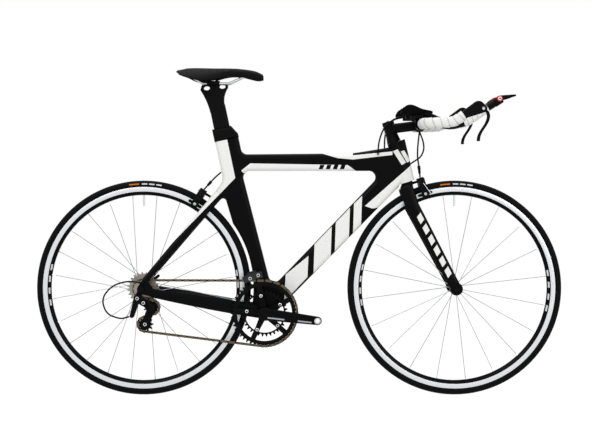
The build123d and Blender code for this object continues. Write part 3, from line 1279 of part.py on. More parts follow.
# Brake calipers: an arch over the tyre with an arm and a pad at each side of the rim
CALIPER_DEPTH = 22.0
CALIPER_INNER = TYRE_WIDTH / 2 + 7.0
CALIPER_OUTER = CALIPER_INNER + 12.0
PAD_GAP = 2.5
CALIPER_REACH = 16.0
CALIPER_BOLT_RADIUS = 4.0
CALIPER_BOLT_LENGTH = 40.0


def caliper(axle, angle, bolt_side, carrier):
    """Brake caliper astride a wheel, its bolt cut where it meets what carries it."""
    out = Vector(*space(around((0, 0), 1, angle), 0))
    along = Vector(*space(around((0, 0), 1, angle + 90), 0))
    base = Vector(*space(axle, 0)) - along * CALIPER_DEPTH / 2
    plane = Plane(origin=base, x_dir=(0, 1, 0), z_dir=along)
    flip = 1 if (plane.y_dir - out).length < 1 else -1
    low = RIM_OUTER_RADIUS - RIM_TRACK_DEPTH
    inside = TYRE_RADIUS + 7.0
    bolt_radius = TYRE_RADIUS + CALIPER_REACH
    high = bolt_radius + 9.0
    with BuildPart() as arch:
        with BuildSketch(plane) as face:
            with BuildLine():
                Polyline(
                    (-CALIPER_OUTER, flip * low),
                    (-CALIPER_OUTER, flip * inside),
                    (-CALIPER_INNER * 0.6, flip * high),
                    (CALIPER_INNER * 0.6, flip * high),
                    (CALIPER_OUTER, flip * inside),
                    (CALIPER_OUTER, flip * low),
                    (CALIPER_INNER, flip * low),
                    (CALIPER_INNER, flip * (inside - 10.0)),
                    (CALIPER_INNER * 0.6, flip * inside),
                    (-CALIPER_INNER * 0.6, flip * inside),
                    (-CALIPER_INNER, flip * (inside - 10.0)),
                    (-CALIPER_INNER, flip * low),
                    close=True,
                )
            make_face()
        extrude(amount=CALIPER_DEPTH)
        for hand in (1, -1):
            pad = base + out * (low + RIM_TRACK_DEPTH / 2) + along * CALIPER_DEPTH / 2
            pad_plane = Plane(
                origin=pad + Vector(0, hand * (RIM_WIDTH / 2 + PAD_GAP), 0), x_dir=along, z_dir=(0, hand, 0)
            )
            with BuildSketch(pad_plane):
                RectangleRounded(46.0, 9.0, 4.0)
            extrude(amount=CALIPER_INNER - RIM_WIDTH / 2 - PAD_GAP + 2.0)
        bolt = base + out * bolt_radius + along * CALIPER_DEPTH / 2
        with BuildSketch(Plane(origin=bolt, z_dir=along * bolt_side)):
            Circle(CALIPER_BOLT_RADIUS)
        extrude(amount=CALIPER_BOLT_LENGTH)
        add(carrier, mode=Mode.SUBTRACT)
    return arch.part.solids().sort_by(SortBy.VOLUME)[-1]


FRONT_BRAKE_ANGLE = 107.5
REAR_BRAKE_ANGLE = 58.5
pieces["front_brake"] = caliper(FRONT_AXLE, FRONT_BRAKE_ANGLE, 1, pieces["fork"])
pieces["rear_brake"] = caliper(REAR_AXLE, REAR_BRAKE_ANGLE, -1, pieces["seat_tube"])

# Cables, each along straight runs and tangent arcs; routes start from the bar clamp or the rear axle
BAR_UNDER = -BAR_CLAMP_RADIUS - 2 * CLEARANCE
FRONT_BRAKE_ROUTE = (
    (0.0, -25.0, BAR_UNDER),
    (-5.0, -22.0, -62.0),
    (-6.0, -16.0, -98.0),
    (0.0, -11.0, -132.0),
    (3.0, -10.0, -162.5),
)
REAR_BRAKE_ROUTE = (
    (4.0, 26.0, BAR_UNDER - 0.4),
    (16.0, 22.0, -50.0),
    (18.0, 17.0, -74.0),
    (8.0, 11.0, -98.0),
    (-25.0, 5.6, -119.2),
)
LEFT_SHIFT_ROUTE = (
    (-47.2, 55.0, 27.0),
    (-78.0, 46.0, 20.0),
    (-100.0, 30.0, -8.0),
    (-106.0, 14.0, -42.0),
    (-107.0, 8.0, -70.3),
)
RIGHT_SHIFT_ROUTE = (
    (-47.0, -55.0, 27.0),
    (-84.0, -50.0, 18.0),
    (-114.0, -38.0, -12.0),
    (-127.0, -28.0, -52.0),
    (-129.0, -21.0, -92.0),
)
STAY_BRAKE_ROUTE = ((240.5, 0.0, 360.0), (222.0, -4.0, 344.0), (204.0, -8.0, 324.0), (188.4, -10.0, 306.6))
DERAILLEUR_ROUTE = (
    (10.0, -75.0, 18.0),
    (-40.0, -77.0, 27.0),
    (-90.0, -78.0, 12.0),
    (-122.0, -80.0, -28.0),
    (-106.0, -80.0, -76.0),
    (-62.0, -80.0, -90.0),
    (-36.2, -79.0, -83.0),
)


def cable(origin, routes):
    """Round cables along routes, each corner's arc as large as its runs allow."""
    with BuildPart() as cord:
        for route in routes:
            points = [Vector(origin[0] + ahead, out, origin[1] + above) for ahead, out, above in route]
            radii = []
            for before, corner, after in zip(points, points[1:], points[2:]):
                run = min((corner - before).length, (after - corner).length)
                turn = (corner - before).get_angle(after - corner)
                radii.append(0.45 * run / tan(radians(turn / 2)))
            print([round(radius) for radius in radii])
            with BuildLine() as line:
                FilletPolyline(*points, radius=radii)
            with BuildSketch(Plane(origin=line.line @ 0, z_dir=line.line % 0)):
                Circle(CABLE_RADIUS)
            sweep()
    return cord.part


pieces["front_brake_cable"] = cable(BAR, (FRONT_BRAKE_ROUTE,))
pieces["steering_cables"] = cable(BAR, (REAR_BRAKE_ROUTE, LEFT_SHIFT_ROUTE, RIGHT_SHIFT_ROUTE))
pieces["frame_cables"] = cable(REAR_AXLE, (STAY_BRAKE_ROUTE, DERAILLEUR_ROUTE))

os.makedirs("parts", exist_ok=True)
for name, piece in pieces.items():
    piece.label = name
    export_step(piece, f"parts/{name}.step")
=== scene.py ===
import math

import bmesh
import bpy
from bpy.props import FloatProperty, FloatVectorProperty, IntProperty, PointerProperty
from mathutils import Matrix, Vector


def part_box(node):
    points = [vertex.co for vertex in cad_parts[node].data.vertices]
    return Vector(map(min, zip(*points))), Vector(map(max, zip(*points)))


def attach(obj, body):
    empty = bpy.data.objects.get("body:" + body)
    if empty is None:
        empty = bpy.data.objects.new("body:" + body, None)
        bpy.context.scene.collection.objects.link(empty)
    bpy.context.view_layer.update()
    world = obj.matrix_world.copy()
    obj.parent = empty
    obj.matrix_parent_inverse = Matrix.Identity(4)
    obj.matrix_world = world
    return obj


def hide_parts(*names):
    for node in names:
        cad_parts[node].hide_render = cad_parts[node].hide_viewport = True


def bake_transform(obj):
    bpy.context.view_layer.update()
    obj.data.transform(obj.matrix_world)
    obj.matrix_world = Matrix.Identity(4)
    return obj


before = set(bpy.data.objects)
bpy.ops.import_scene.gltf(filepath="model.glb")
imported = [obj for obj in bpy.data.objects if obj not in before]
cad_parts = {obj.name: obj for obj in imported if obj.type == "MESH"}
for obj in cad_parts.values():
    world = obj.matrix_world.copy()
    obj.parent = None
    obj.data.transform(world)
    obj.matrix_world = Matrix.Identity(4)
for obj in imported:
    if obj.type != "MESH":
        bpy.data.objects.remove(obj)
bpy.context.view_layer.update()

bl_info = {
    "name": "Triathlon bike",
    "version": (1, 0, 0),
    "blender": (4, 5, 0),
    "location": "View3D > Sidebar > Bike",
    "description": "Dresses the packed bicycle with its finishes, coverings and small parts",
    "category": "Object",
}

# Sizes are in metres and angles in degrees; a bolt, disc or socket is given by its radius and height
# Side-view places shared with the solids, with the origin where the rider sits
CRANK = (0.157, -0.760)
REAR_AXLE = (-0.22042, -0.684)
FRONT_AXLE = (0.74858, -0.684)
BAR = (0.638, -0.178)
GROUND = -1.018
HEAD_LEAN = math.radians(17.5)
FORK_OFFSET = 0.043
STEER_FOOT = (FRONT_AXLE[0] - FORK_OFFSET / math.cos(HEAD_LEAN), FRONT_AXLE[1])

# Wheels
TYRE_RADIUS = 0.334
TYRE_WIDTH = 0.023
CASING_STEPS = 28
RIM_OUTER = 0.314
RIM_INNER = 0.289
TRACK_INNER = 0.300
RIM_HALF = 0.010
TRACK_EDGE = 0.001
TRACK_RAISE = 0.0003
RIM_NOSE = 0.0004
RIM_WALL = (
    (RIM_OUTER, RIM_HALF),
    (RIM_OUTER - TRACK_EDGE, RIM_HALF + TRACK_RAISE),
    (TRACK_INNER + TRACK_EDGE, RIM_HALF + TRACK_RAISE),
    (TRACK_INNER, RIM_HALF),
    (0.2955, 0.0085),
    (0.2915, 0.0062),
    (RIM_INNER, 0.0035),
)
SPOKE_START = 7.0
FRONT_SPOKES = 20
REAR_SPOKES = 24
NIPPLE = ((0, 0), (0.0021, 0), (0.0019, 0.003), (0.0016, 0.011), (0, 0.0112))
NIPPLE_SEAT = 0.0005
NIPPLE_OFFSET = 0.001

# Drivetrain
CHAIN_PITCH = 0.0127
CHAIN_LINE = -0.050
CHAIN_STEP = 0.004
LINK_STEPS = 16
LINK_WAIST = 0.78
WAIST_SPAN = 0.3
ROLLER_RADIUS = 0.0038
PIN_RADIUS = 0.0018
PIN_END = 0.0004
INNER_PLATE_SHARE = 0.94
# A link's gap between its plates, and their thickness
OUTER_LINK = (0.0046, 0.0009)
INNER_LINK = (0.0028, 0.0008)
# Places of pulleys, pedals and bolts
GUIDE_PULLEY = (REAR_AXLE[0] + 0.030, REAR_AXLE[1] - 0.057)
TENSION_PULLEY = (REAR_AXLE[0] + 0.009, REAR_AXLE[1] - 0.109)
HANGER = (REAR_AXLE[0] - 0.012, REAR_AXLE[1] - 0.027)
KNUCKLE_SHARE = 0.45
CAGE_BOLTS = ((0.1130, -0.6520), (0.1380, -0.6420))
RING_TEETH = 50
COG_TEETH = 13
PULLEY_TEETH = 11
RING_BOLT_COUNT = 5
SPIDER_RADIUS = 0.055
SPIDER_ANGLE = 29.5
CRANK_LENGTH = 0.165
CRANK_ANGLE = math.radians(-7.3)
CRANK_REACH = (CRANK_LENGTH * math.cos(CRANK_ANGLE), CRANK_LENGTH * math.sin(CRANK_ANGLE))
RIGHT_PEDAL = (CRANK[0] + CRANK_REACH[0], CRANK[1] + CRANK_REACH[1])
LEFT_PEDAL = (CRANK[0] - CRANK_REACH[0], CRANK[1] - CRANK_REACH[1])
PEDAL_EYE = ((0.0066, 0.0765), (0.0098, 0.0765), (0.0098, 0.0776), (0.0072, 0.0776))
RING_BOLT_RADIUS = 0.0051
RING_BOLT_BEVEL = (0.0005, 0.0004)
# Painted shade: black discs that stand in for the dark inside of the ring bolts' sockets, by radius and
# height, and how deep each sits
RING_SOCKET_SHADE = (0.0027, 0.0009)
RING_SOCKET_SHADE_SINK = 0.0006
DERAILLEUR_BOLT = (0.0056, 0.002)
DERAILLEUR_BOLT_SEAT = 0.0004
# Painted shade in the derailleur bolts' sockets: a black disc by radius and height, and how far out from the
# bolt's seat it stands
DERAILLEUR_SOCKET_SHADE = (0.0031, 0.0009)
DERAILLEUR_SOCKET_SHADE_LIFT = 0.0012
# Shape of a bolt head as shares of its radius and height
HEAD_EDGE = 0.15
SOCKET_MOUTH = 0.55
SOCKET_FLOOR = 0.5
SOCKET_DEPTH = 0.4

# Cockpit
BAR_RADIUS = 0.012
BAR_HALF = 0.200
BAR_BENDS = (0.035, 0.060)
HORN_BEND = (BAR[0] + 0.086, BAR[1] + 0.003)
HORN_TIP = (BAR[0] + 0.128, BAR[1] + 0.030)
LEVER_PIVOT = (BAR[0] + 0.174, BAR[1] + 0.043)
LEVER_HALF = 0.012
LEVER_PIN = (0.0042, 0.0015)
EXTENSION_RADIUS = 0.0111
EXTENSION_HALF = 0.055
EXTENSION_RISE = 0.0271
EXTENSION_BENDS = (0.060, 0.080)
EXTENSION_TIP = (BAR[0] + 0.228, BAR[1] + 0.066)
EXTENSION_CORNERS = (
    (BAR[0] - 0.046, BAR[1] + EXTENSION_RISE),
    (BAR[0] + 0.026, BAR[1] + EXTENSION_RISE),
    (BAR[0] + 0.112, BAR[1] - 0.010),
    EXTENSION_TIP,
)
SHIFTER_BOSS = (EXTENSION_TIP[0] + 0.0155, EXTENSION_TIP[1] + 0.0150)
SHIFTER_RING = (0.0092, 0.0135)
SHIFTER_RING_BEVEL = (0.0008, 0.0007)
SHIFTER_CAP = (0.0056, 0.0142)
SHIFTER_CAP_BEVEL = (0.0006, 0.0004)
SHIFTER_SCREW = (0.0024, 0.0146)
TAPE_ON_BAR = 0.070
TAPE_ON_HORN = 0.72
TAPE_ON_EXTENSION = (0.771, 0.846)
TAPE_STEP = 0.0016
TAPE_SIDES = 44
TAPE_THICKNESS = 0.0022
TAPE_LAP = 0.0023
LAP_CURVE = 0.6
# Painted shade at the tape's laps: the share of the tape's own colour at the step where one turn laps onto
# the next, and the share of a turn over which that shade fades out
LAP_SHADE_START = 0.15
LAP_SHADE_SPAN = 0.22
NARROW_WRAP = 0.8
STEM_BOLT = (0.0042, 0.004)
STEM_CAP = 0.5431
STEM_CLAMP_BOLTS = (0.510, 0.528)
STEM_BACK = 0.0185
STEM_FACE = 0.0165
STEM_FACE_BOLTS = (0.013, 0.012)

# Arm rests: place along one and height of its edge, seen from the side, then the sizes of its pad
PAD_EDGE = (
    (-0.0505, 0.0090),
    (-0.0460, 0.0180),
    (-0.0400, 0.0260),
    (-0.0320, 0.0315),
    (-0.0220, 0.0335),
    (-0.0110, 0.0315),
    (0.0020, 0.0255),
    (0.0160, 0.0195),
    (0.0320, 0.0155),
    (0.0500, 0.0135),
)
PAD_MIDDLE = (BAR[0] - 0.0165, BAR[1] + EXTENSION_RISE)
PAD_HALF = 0.100
PAD_SKIN = 0.0045
PAD_DEPTH = 0.0095
PAD_CUP = 0.026
PAD_ROUND = 0.0469
PAD_GAP = 0.0008
PAD_TAPER = 0.1
PAD_END_POWER = 6
PAD_SIDE_POWER = 4
PAD_ROWS = 33
PAD_COLUMNS = 29
PAD_PRESSURE = 2.0
PAD_SWELL = 0.0015

# Saddle: place along it, half width, height of its edge and of its crown, then the sizes of its cover
SADDLE_STATIONS = (
    (-0.118, 0.044, -0.012, -0.002),
    (-0.084, 0.065, -0.027, 0.001),
    (-0.044, 0.070, -0.042, 0.001),
    (0.0, 0.050, -0.038, 0.0),
    (0.038, 0.030, -0.029, 0.0),
    (0.082, 0.022, -0.028, -0.001),
    (0.126, 0.019, -0.038, -0.006),
    (0.153, 0.013, -0.037, -0.016),
)
COVER_ROWS = 61
COVER_COLUMNS = 41
COVER_INSET = 0.0008
COVER_DEPTH = 0.0066
COVER_TUCK = 0.0022
TUCK_POWER = 8
COVER_PRESSURE = 1.5
COVER_SWELL = 0.0012
STITCH = ((0, -0.0009), (0.0003, -0.0007), (0.0003, 0.0007), (0, 0.0009))
STITCH_START = -0.098
STITCH_STEP = 0.0026
STITCH_COUNT = 88
STITCH_SHARE = 0.62
STITCH_SINK = 0.0002
SADDLE_BOLT = (0.006, 0.005)
SADDLE_BOLT_PLACE = (-0.003, -0.0405)
PADDING_FRAMES = 20

# Brakes and cables: bolts by the caliper's angle about its axle, barrels and the front caliper's bare wire
FRONT_CALIPER_ANGLE = 107.5
REAR_CALIPER_ANGLE = 58.5
CALIPER_BOLT = (0.0045, 0.004)
PIVOT_PLACE = (0.350, 0.0105)
SHOE_PLACE = (0.307, 0.0300)
FRONT_BARREL = (
    (BAR[0] - 0.0012, -0.0118, BAR[1] - 0.126),
    (BAR[0] + 0.0016, -0.0105, BAR[1] - 0.150),
)
REAR_BARREL = (
    (REAR_AXLE[0] + 0.2104, -0.0066, REAR_AXLE[1] + 0.3313),
    (REAR_AXLE[0] + 0.1995, -0.0086, REAR_AXLE[1] + 0.3190),
)
BARREL_RADIUS = 0.0038
COLLAR_RADIUS = 0.0046
COLLAR_SHARE = 0.45
KNURL_DEPTH = 0.0003
KNURL_COUNT = 12
BARREL_SIDES = 48
WIRE_ENDS = ((0.649, -0.0308, -0.3572), (0.6733, -0.0308, -0.3905))
WIRE_RADIUS = 0.0008

# Stage: soft boxes by place from the bike's middle, width and height in metres and power in watts
LAMPS = (
    ("key_box", (-1.8, -3.0, 2.2), (2.4, 1.6), 80.0),
    ("fill_box", (2.4, -2.6, 0.8), (2.0, 2.0), 36.0),
    ("top_box", (0.0, 0.4, 2.6), (3.0, 1.2), 45.0),
)
LAMP_AIM = -0.5
WORLD_LIGHT = 0.34
FLOOR_HALF = 30
FLOOR_GLOW = 1.08
FLOOR_GLOW_SHARE = 0.9
CAMERA_PLACE = (-0.002, -4.3, -0.336)
CAMERA_LENS = 83.0
CAMERA_SENSOR = 36.0
CAMERA_SHIFT = -0.066

# Photo measure: the rear axle's column, the ground's row and the size of a pixel in metres
AXLE_COLUMN = 145.0
GROUND_ROW = 396.2
PIXEL_WIDTH = 0.00315
PIXEL_HEIGHT = 0.003085


def outline(*pixels):
    """Points measured on the photo as an anticlockwise side-view outline, in metres."""
    places = []
    for column, row in pixels:
        x = REAR_AXLE[0] + (column - AXLE_COLUMN) * PIXEL_WIDTH
        places.append((x, GROUND + (GROUND_ROW - row) * PIXEL_HEIGHT))
    turn = sum(a[0] * b[1] - b[0] * a[1] for a, b in zip(places, places[1:] + places[:1]))
    return places if turn > 0 else places[::-1]


# White areas of the frame, as convex outlines measured on the photo
REAR_PANEL = outline((205, 132), (226.4, 132), (235.7, 177), (205, 177))
STAY_PANEL = outline((235.7, 177), (150, 268), (100, 268), (100, 177))
TOP_STRIP = outline((242.6, 168.7), (250.6, 162.3), (346.8, 164), (358, 172), (240, 172))
TOP_BAND = outline((322, 152.5), (337, 157), (352, 158.4), (352, 149), (322, 149))
TOP_LINE = outline((351.9, 158.4), (391, 153.8), (391, 150.2), (351.9, 154.2))
HEAD_WEDGE = outline((414, 159.9), (363.7, 205.3), (371, 207.8), (420, 200), (430, 160))
CRANK_PANEL = outline((285.5, 274.5), (308, 255.5), (307, 277), (284, 302))
# Plain slanted bars and lines as decoration, measured in the same way
TUBE_BARS = (
    outline((314, 244), (331, 226), (330, 256), (313, 273)),
    outline((335, 222), (349, 207), (348, 237), (334, 251)),
    outline((353, 203), (361, 195), (360, 224), (352, 233)),
)
HEAD_BARS = (
    outline((391.5, 150), (396, 148), (404.5, 161.5), (400, 164)),
    outline((399, 150.5), (402.5, 149), (409, 159.5), (405.5, 161.5)),
)
STRIP_BARS = tuple(
    outline((x, 168.2), (x + 4.2, 168.2), (x + 5.8, 163.8), (x + 1.6, 163.8)) for x in (318, 325, 332, 339)
)
CRANK_LINES = (
    outline((268, 315.4), (284.4, 317.3), (284.4, 318.7), (268, 316.8)),
    outline((297.5, 318.6), (310.8, 320.1), (310.8, 321.5), (297.5, 320)),
)
FORK_BAR_ENDS = ((418.0, 217.5), (444.5, 271.0))
FORK_BAR_COUNT = 6
FORK_BAR_HALVES = (4.0, 2.6)
FORK_BAR_SLANT = 0.5

# Printed bars on the tyre walls: span in degrees and colour, then their place across the wall
TYRE_MARKS = (
    (272.5, 278.0, "#C8742A"),
    (268.0, 271.0, "#D9D9D9"),
    (264.0, 267.0, "#D9D9D9"),
    (260.0, 263.0, "#D9D9D9"),
)
MARK_BAND = (0.3215, 0.3255)
TREAD_SPAN = (0.327, 0.332)
WALL_RIBS = 720
RIB_BUMP = 0.15
RIB_DEPTH = 0.0002
# White dashes on the rim walls: groups in a turn, the start and the share of a group, dashes in a turn
DASH_GROUPS = 2.0
DASH_START = 0.1
DASH_SHARE = 0.16
DASH_COUNT = 50.0
DASH_FILL = 0.5
DASH_BAND = (0.2915, 0.2965)
TRACK_GROOVE = 0.0006
GROOVE_BUMP = 0.2
GROOVE_DEPTH = 0.0001

# Reflection level of the deep blacks, and the two close tones of a black surface
BLACK_SHEEN = 0.055
BLACK = ("#050506", "#0A0A0B")
# Finishes of one colour: two close tones, roughness, width and depth of the grain in mm
# A grain finer than a pixel is drawn about a millimetre wide, so that it shows
FINISHES = {
    # Stainless wire, drawn: thin bright lines without streaks
    "stainless_spoke": dict(tones=("#8E9092", "#A6A8AA"), rough=0.3, grain=(2.0, 0.01), metallic=0.9),
    # Aluminium, turned and anodised: an even black film with a satin sheen
    "anodised_hub": dict(tones=BLACK, rough=0.4, grain=(1.0, 0.02), sheen=BLACK_SHEEN),
    "anodised_black": dict(tones=BLACK, rough=0.4, grain=(1.2, 0.02), sheen=BLACK_SHEEN),
    # Aluminium, drawn and anodised over a blasted skin: duller than the turned pieces
    "anodised_post": dict(tones=BLACK, rough=0.45, grain=(1.2, 0.02), sheen=BLACK_SHEEN),
    # Aluminium, polished: pale and bright, with soft reflections
    "polished_aluminium": dict(tones=("#C9CACC", "#DADBDC"), rough=0.28, grain=(1.5, 0.02), metallic=0.9),
    # Chain plates, bronzed and worn: a warm dark metal that glints at its edges
    "bronzed_chain_steel": dict(tones=("#4C4236", "#685A46"), rough=0.35, grain=(1.0, 0.02), metallic=0.7),
    # Chain rollers and inner plates under oil: nearly black and wet
    "oiled_chain_steel": dict(tones=("#0F0D0B", "#1A1713"), rough=0.4, grain=(1.0, 0.02), sheen=BLACK_SHEEN),
    # Pressed steel, satin plated: dark grey with a broad shine
    "satin_cage_steel": dict(tones=("#1B1C1E", "#303134"), rough=0.35, grain=(1.0, 0.02), metallic=0.7),
    # Stamped cogs, nickel plated: a yellowish grey metal, softly bright
    "nickelled_cog_steel": dict(tones=("#8C8880", "#A8A49B"), rough=0.35, grain=(1.0, 0.02), metallic=0.8),
    # Steel fixings, machined: sharp small highlights
    "machined_steel": dict(tones=("#C4C5C7", "#D5D6D8"), rough=0.25, grain=(1.0, 0.01), metallic=0.9),
    "bright_bolt_steel": dict(tones=("#C4C5C7", "#D9DADB"), rough=0.25, grain=(1.0, 0.01), metallic=0.9),
    # Steel bolts, zinc plated: a shade darker and softer
    "plated_bolt_steel": dict(tones=("#B9BABC", "#CFD0D2"), rough=0.28, grain=(1.0, 0.01), metallic=0.9),
    # Saddle rails, drawn: long clean highlights
    "drawn_steel_rail": dict(tones=("#B4B5B7", "#CBCCCE"), rough=0.25, grain=(1.0, 0.01), metallic=0.9),
    # Nylon, moulded: a dull black with a fine spark-eroded texture
    "moulded_nylon": dict(tones=BLACK, rough=0.55, grain=(0.8, 0.03), sheen=BLACK_SHEEN),
    "moulded_saddle_base": dict(tones=BLACK, rough=0.5, grain=(0.8, 0.03), sheen=BLACK_SHEEN),
    # Rubber, moulded: matt and slightly pebbled to the grip
    "moulded_hood_rubber": dict(tones=BLACK, rough=0.6, grain=(0.8, 0.04), sheen=BLACK_SHEEN),
    # Foam faced with fleece: no highlight at all, only a soft nap
    "fleece_faced_foam": dict(tones=BLACK, rough=0.85, grain=(0.5, 0.15), sheen=BLACK_SHEEN),
    # Plastic rings, moulded in colour: plain and half glossy
    "red_end_ring": dict(tones=("#C8202C", "#B31B26"), rough=0.4, grain=(1.0, 0.01)),
    "white_end_ring": dict(tones=("#EFEFEF", "#E2E2E2"), rough=0.4, grain=(1.0, 0.01)),
    # Synthetic leather, embossed: a pebbled skin with a dim sheen
    "synthetic_leather": dict(tones=BLACK, rough=0.5, grain=(0.9, 0.08), sheen=BLACK_SHEEN),
    # Polyester thread, twisted: dry dark grey against the leather
    "polyester_thread": dict(tones=("#1A1A1C", "#232325"), rough=0.8, grain=(0.3, 0.05), sheen=BLACK_SHEEN),
    # Cable housing, extruded vinyl: smooth and slightly waxy
    "cable_sheath": dict(tones=BLACK, rough=0.4, grain=(0.8, 0.02), sheen=BLACK_SHEEN),
}
# Finishes with a pattern: roughness range, then width and depth of the grain in mm
ENAMEL_ROUGH = (0.3, 0.4)
ENAMEL_PEEL = (3.0, 0.02)
TAPE_ROUGH = (0.6, 0.8)
TAPE_GRAIN = (0.7, 0.1)
TAPE_SHEEN = 0.2
TYRE_ROUGH = (0.5, 0.7)
TYRE_GRAIN = (1.5, 0.05)
RIM_ROUGH = 0.35
TRACK_METAL = 0.85
ROUGH_SWING = 0.2
PLAIN_SHEEN = 0.5
GRAIN_DETAIL = 4.0
GRAIN_BUMP = 0.35

# Kinds of shader node used often, with the sockets and settings of a mix of two colours
MATH = "ShaderNodeMath"
MIX = "ShaderNodeMix"
FIRST, SECOND = 6, 7
COLOUR = {"out": 2, "data_type": "RGBA"}


def linear(code):
    """Linear colour from an sRGB hex value; a colour picked in the panel is linear already."""
    if not isinstance(code, str):
        return [*code, 1.0][:4]
    parts = [int(code[i : i + 2], 16) / 255 for i in (1, 3, 5)]
    return [p / 12.92 if p <= 0.04045 else ((p + 0.055) / 1.055) ** 2.4 for p in parts] + [1.0]


def node(tree, kind, *given, named=None, out=0, **settings):
    """Adds one node with its settings and inputs; gives one of its outputs, or the node where out is None."""
    made = tree.nodes.new(kind)
    for key, value in settings.items():
        setattr(made, key, value)
    for key, source in [*enumerate(given), *(named or {}).items()]:
        if hasattr(source, "is_output"):
            tree.links.new(source, made.inputs[key])
        else:
            made.inputs[key].default_value = source
    return made if out is None else made.outputs[out]


def begin(name, base, rough, metallic=0.0, specular=PLAIN_SHEEN):
    """A new material with plain values: it, its tree, its shader's inputs and the places on the piece."""
    material = bpy.data.materials.new(name)
    material.use_nodes = True
    tree = material.node_tree
    shader = tree.nodes["Principled BSDF"].inputs
    shader["Base Color"].default_value = linear(base)
    shader["Roughness"].default_value = rough
    shader["Metallic"].default_value = metallic
    shader["Specular IOR Level"].default_value = specular
    return material, tree, shader, node(tree, "ShaderNodeTexCoord", out="Object")


def grain(tree, shader, place, width_mm, depth_mm, low, high):
    """Fine unevenness of a real size, as noise that drives roughness and bump."""
    pattern = {"Vector": place, "Scale": 1000 / width_mm, "Detail": GRAIN_DETAIL}
    noise = node(tree, "ShaderNodeTexNoise", named=pattern)
    rough = node(tree, "ShaderNodeMapRange", noise, named={"To Min": low, "To Max": high})
    tree.links.new(rough, shader["Roughness"])
    relief = {"Height": noise, "Strength": GRAIN_BUMP, "Distance": depth_mm / 1000}
    tree.links.new(node(tree, "ShaderNodeBump", named=relief), shader["Normal"])
    return noise


def surface(name):
    """A finish of one colour, made once, with the unevenness that its making leaves."""
    if name in bpy.data.materials:
        return bpy.data.materials[name]
    look = FINISHES[name]
    base, shade = look["tones"]
    rough = look["rough"]
    sheen = look.get("sheen", PLAIN_SHEEN)
    material, tree, shader, place = begin(name, base, rough, look.get("metallic", 0.0), sheen)
    low, high = rough * (1 - ROUGH_SWING), min(1.0, rough * (1 + ROUGH_SWING))
    noise = grain(tree, shader, place, *look["grain"], low, high)
    tone = node(tree, MIX, noise, named={FIRST: linear(base), SECOND: linear(shade)}, **COLOUR)
    tree.links.new(tone, shader["Base Color"])
    return material


def inside(tree, place, corners):
    """1 inside a convex side-view outline, given anticlockwise as seen from the right-hand side."""
    axes = node(tree, "ShaderNodeSeparateXYZ", place, out=None).outputs
    total = 1.0
    for (x0, z0), (x1, z1) in zip(corners, corners[1:] + corners[:1]):
        run, rise = x1 - x0, z1 - z0
        across = node(tree, MATH, axes[2], run, operation="MULTIPLY")
        along = node(tree, MATH, axes[0], -rise, across, operation="MULTIPLY_ADD")
        test = node(tree, MATH, along, run * z0 - rise * x0, operation="GREATER_THAN")
        total = node(tree, MATH, total, test, operation="MINIMUM")
    return total


def within(tree, value, low, high):
    """1 where a value lies between two limits."""
    above = node(tree, MATH, value, low, operation="GREATER_THAN")
    below = node(tree, MATH, value, high, operation="LESS_THAN")
    return node(tree, MATH, above, below, operation="MULTIPLY")


def polar(tree, place, axle):
    """Radius and angle in turns about an axle, from straight behind it."""
    axes = node(tree, "ShaderNodeSeparateXYZ", place, out=None).outputs
    ahead = node(tree, MATH, axes[0], axle[0], operation="SUBTRACT")
    above = node(tree, MATH, axes[2], axle[1], operation="SUBTRACT")
    square = node(tree, MATH, ahead, ahead, operation="MULTIPLY")
    square = node(tree, MATH, above, above, square, operation="MULTIPLY_ADD")
    radius = node(tree, MATH, square, operation="SQRT")
    angle = node(tree, MATH, above, ahead, operation="ARCTAN2")
    return radius, node(tree, MATH, angle, 1 / math.tau, 0.5, operation="MULTIPLY_ADD")


def fork_bars():
    """Short bars in a row down the fork blade."""
    (x0, y0), (x1, y1) = FORK_BAR_ENDS
    reach = math.hypot(x1 - x0, y1 - y0)
    ux, uy = (x1 - x0) / reach, (y1 - y0) / reach
    half_long, half_wide = FORK_BAR_HALVES
    signs = ((1, 1), (1, -1), (-1, -1), (-1, 1))
    ends = [(a * half_long + b * half_wide * FORK_BAR_SLANT, b * half_wide) for a, b in signs]
    bars = []
    for i in range(FORK_BAR_COUNT):
        share = i / (FORK_BAR_COUNT - 1)
        cx, cy = x0 + (x1 - x0) * share, y0 + (y1 - y0) * share
        bars.append(outline(*[(cx + ux * a - uy * b, cy + uy * a + ux * b) for a, b in ends]))
    return bars


def painted(name, panels, black, white, bars=()):
    """Sprayed two-tone enamel under lacquer: even and glossy, with a faint orange-peel swell."""
    black, white = linear(black), linear(white)
    material, tree, shader, place = begin(name, black, ENAMEL_ROUGH[0], specular=BLACK_SHEEN)
    noise = grain(tree, shader, place, *ENAMEL_PEEL, *ENAMEL_ROUGH)
    colour = node(tree, MIX, noise, named={FIRST: black, SECOND: linear("#060608")}, **COLOUR)
    for shapes, tone in ((panels, white), (bars, black)):
        cover = 0.0
        for shape in shapes:
            cover = node(tree, MATH, cover, inside(tree, place, shape), operation="MAXIMUM")
        colour = node(tree, MIX, cover, named={FIRST: colour, SECOND: tone}, **COLOUR)
    tree.links.new(colour, shader["Base Color"])
    return material


def tape_finish(name, base):
    """Cork tape, foamed and wound: a soft matt skin, with painted shade where one turn tucks under the next.
    """
    material, tree, shader, place = begin(name, base, TAPE_ROUGH[0], specular=TAPE_SHEEN)
    noise = grain(tree, shader, place, *TAPE_GRAIN, *TAPE_ROUGH)
    painted_lap_shade = node(tree, "ShaderNodeAttribute", out="Fac", attribute_name="painted_lap_shade")
    skin = node(tree, MIX, noise, named={FIRST: linear(base), SECOND: linear("#DEDEDA")}, **COLOUR)
    # Painted shade: a grey tone mixed in by the painted_lap_shade attribute, darkest at the step between
    # turns
    colour = node(tree, MIX, painted_lap_shade, named={FIRST: linear("#8C8C88"), SECOND: skin}, **COLOUR)
    tree.links.new(colour, shader["Base Color"])
    return material


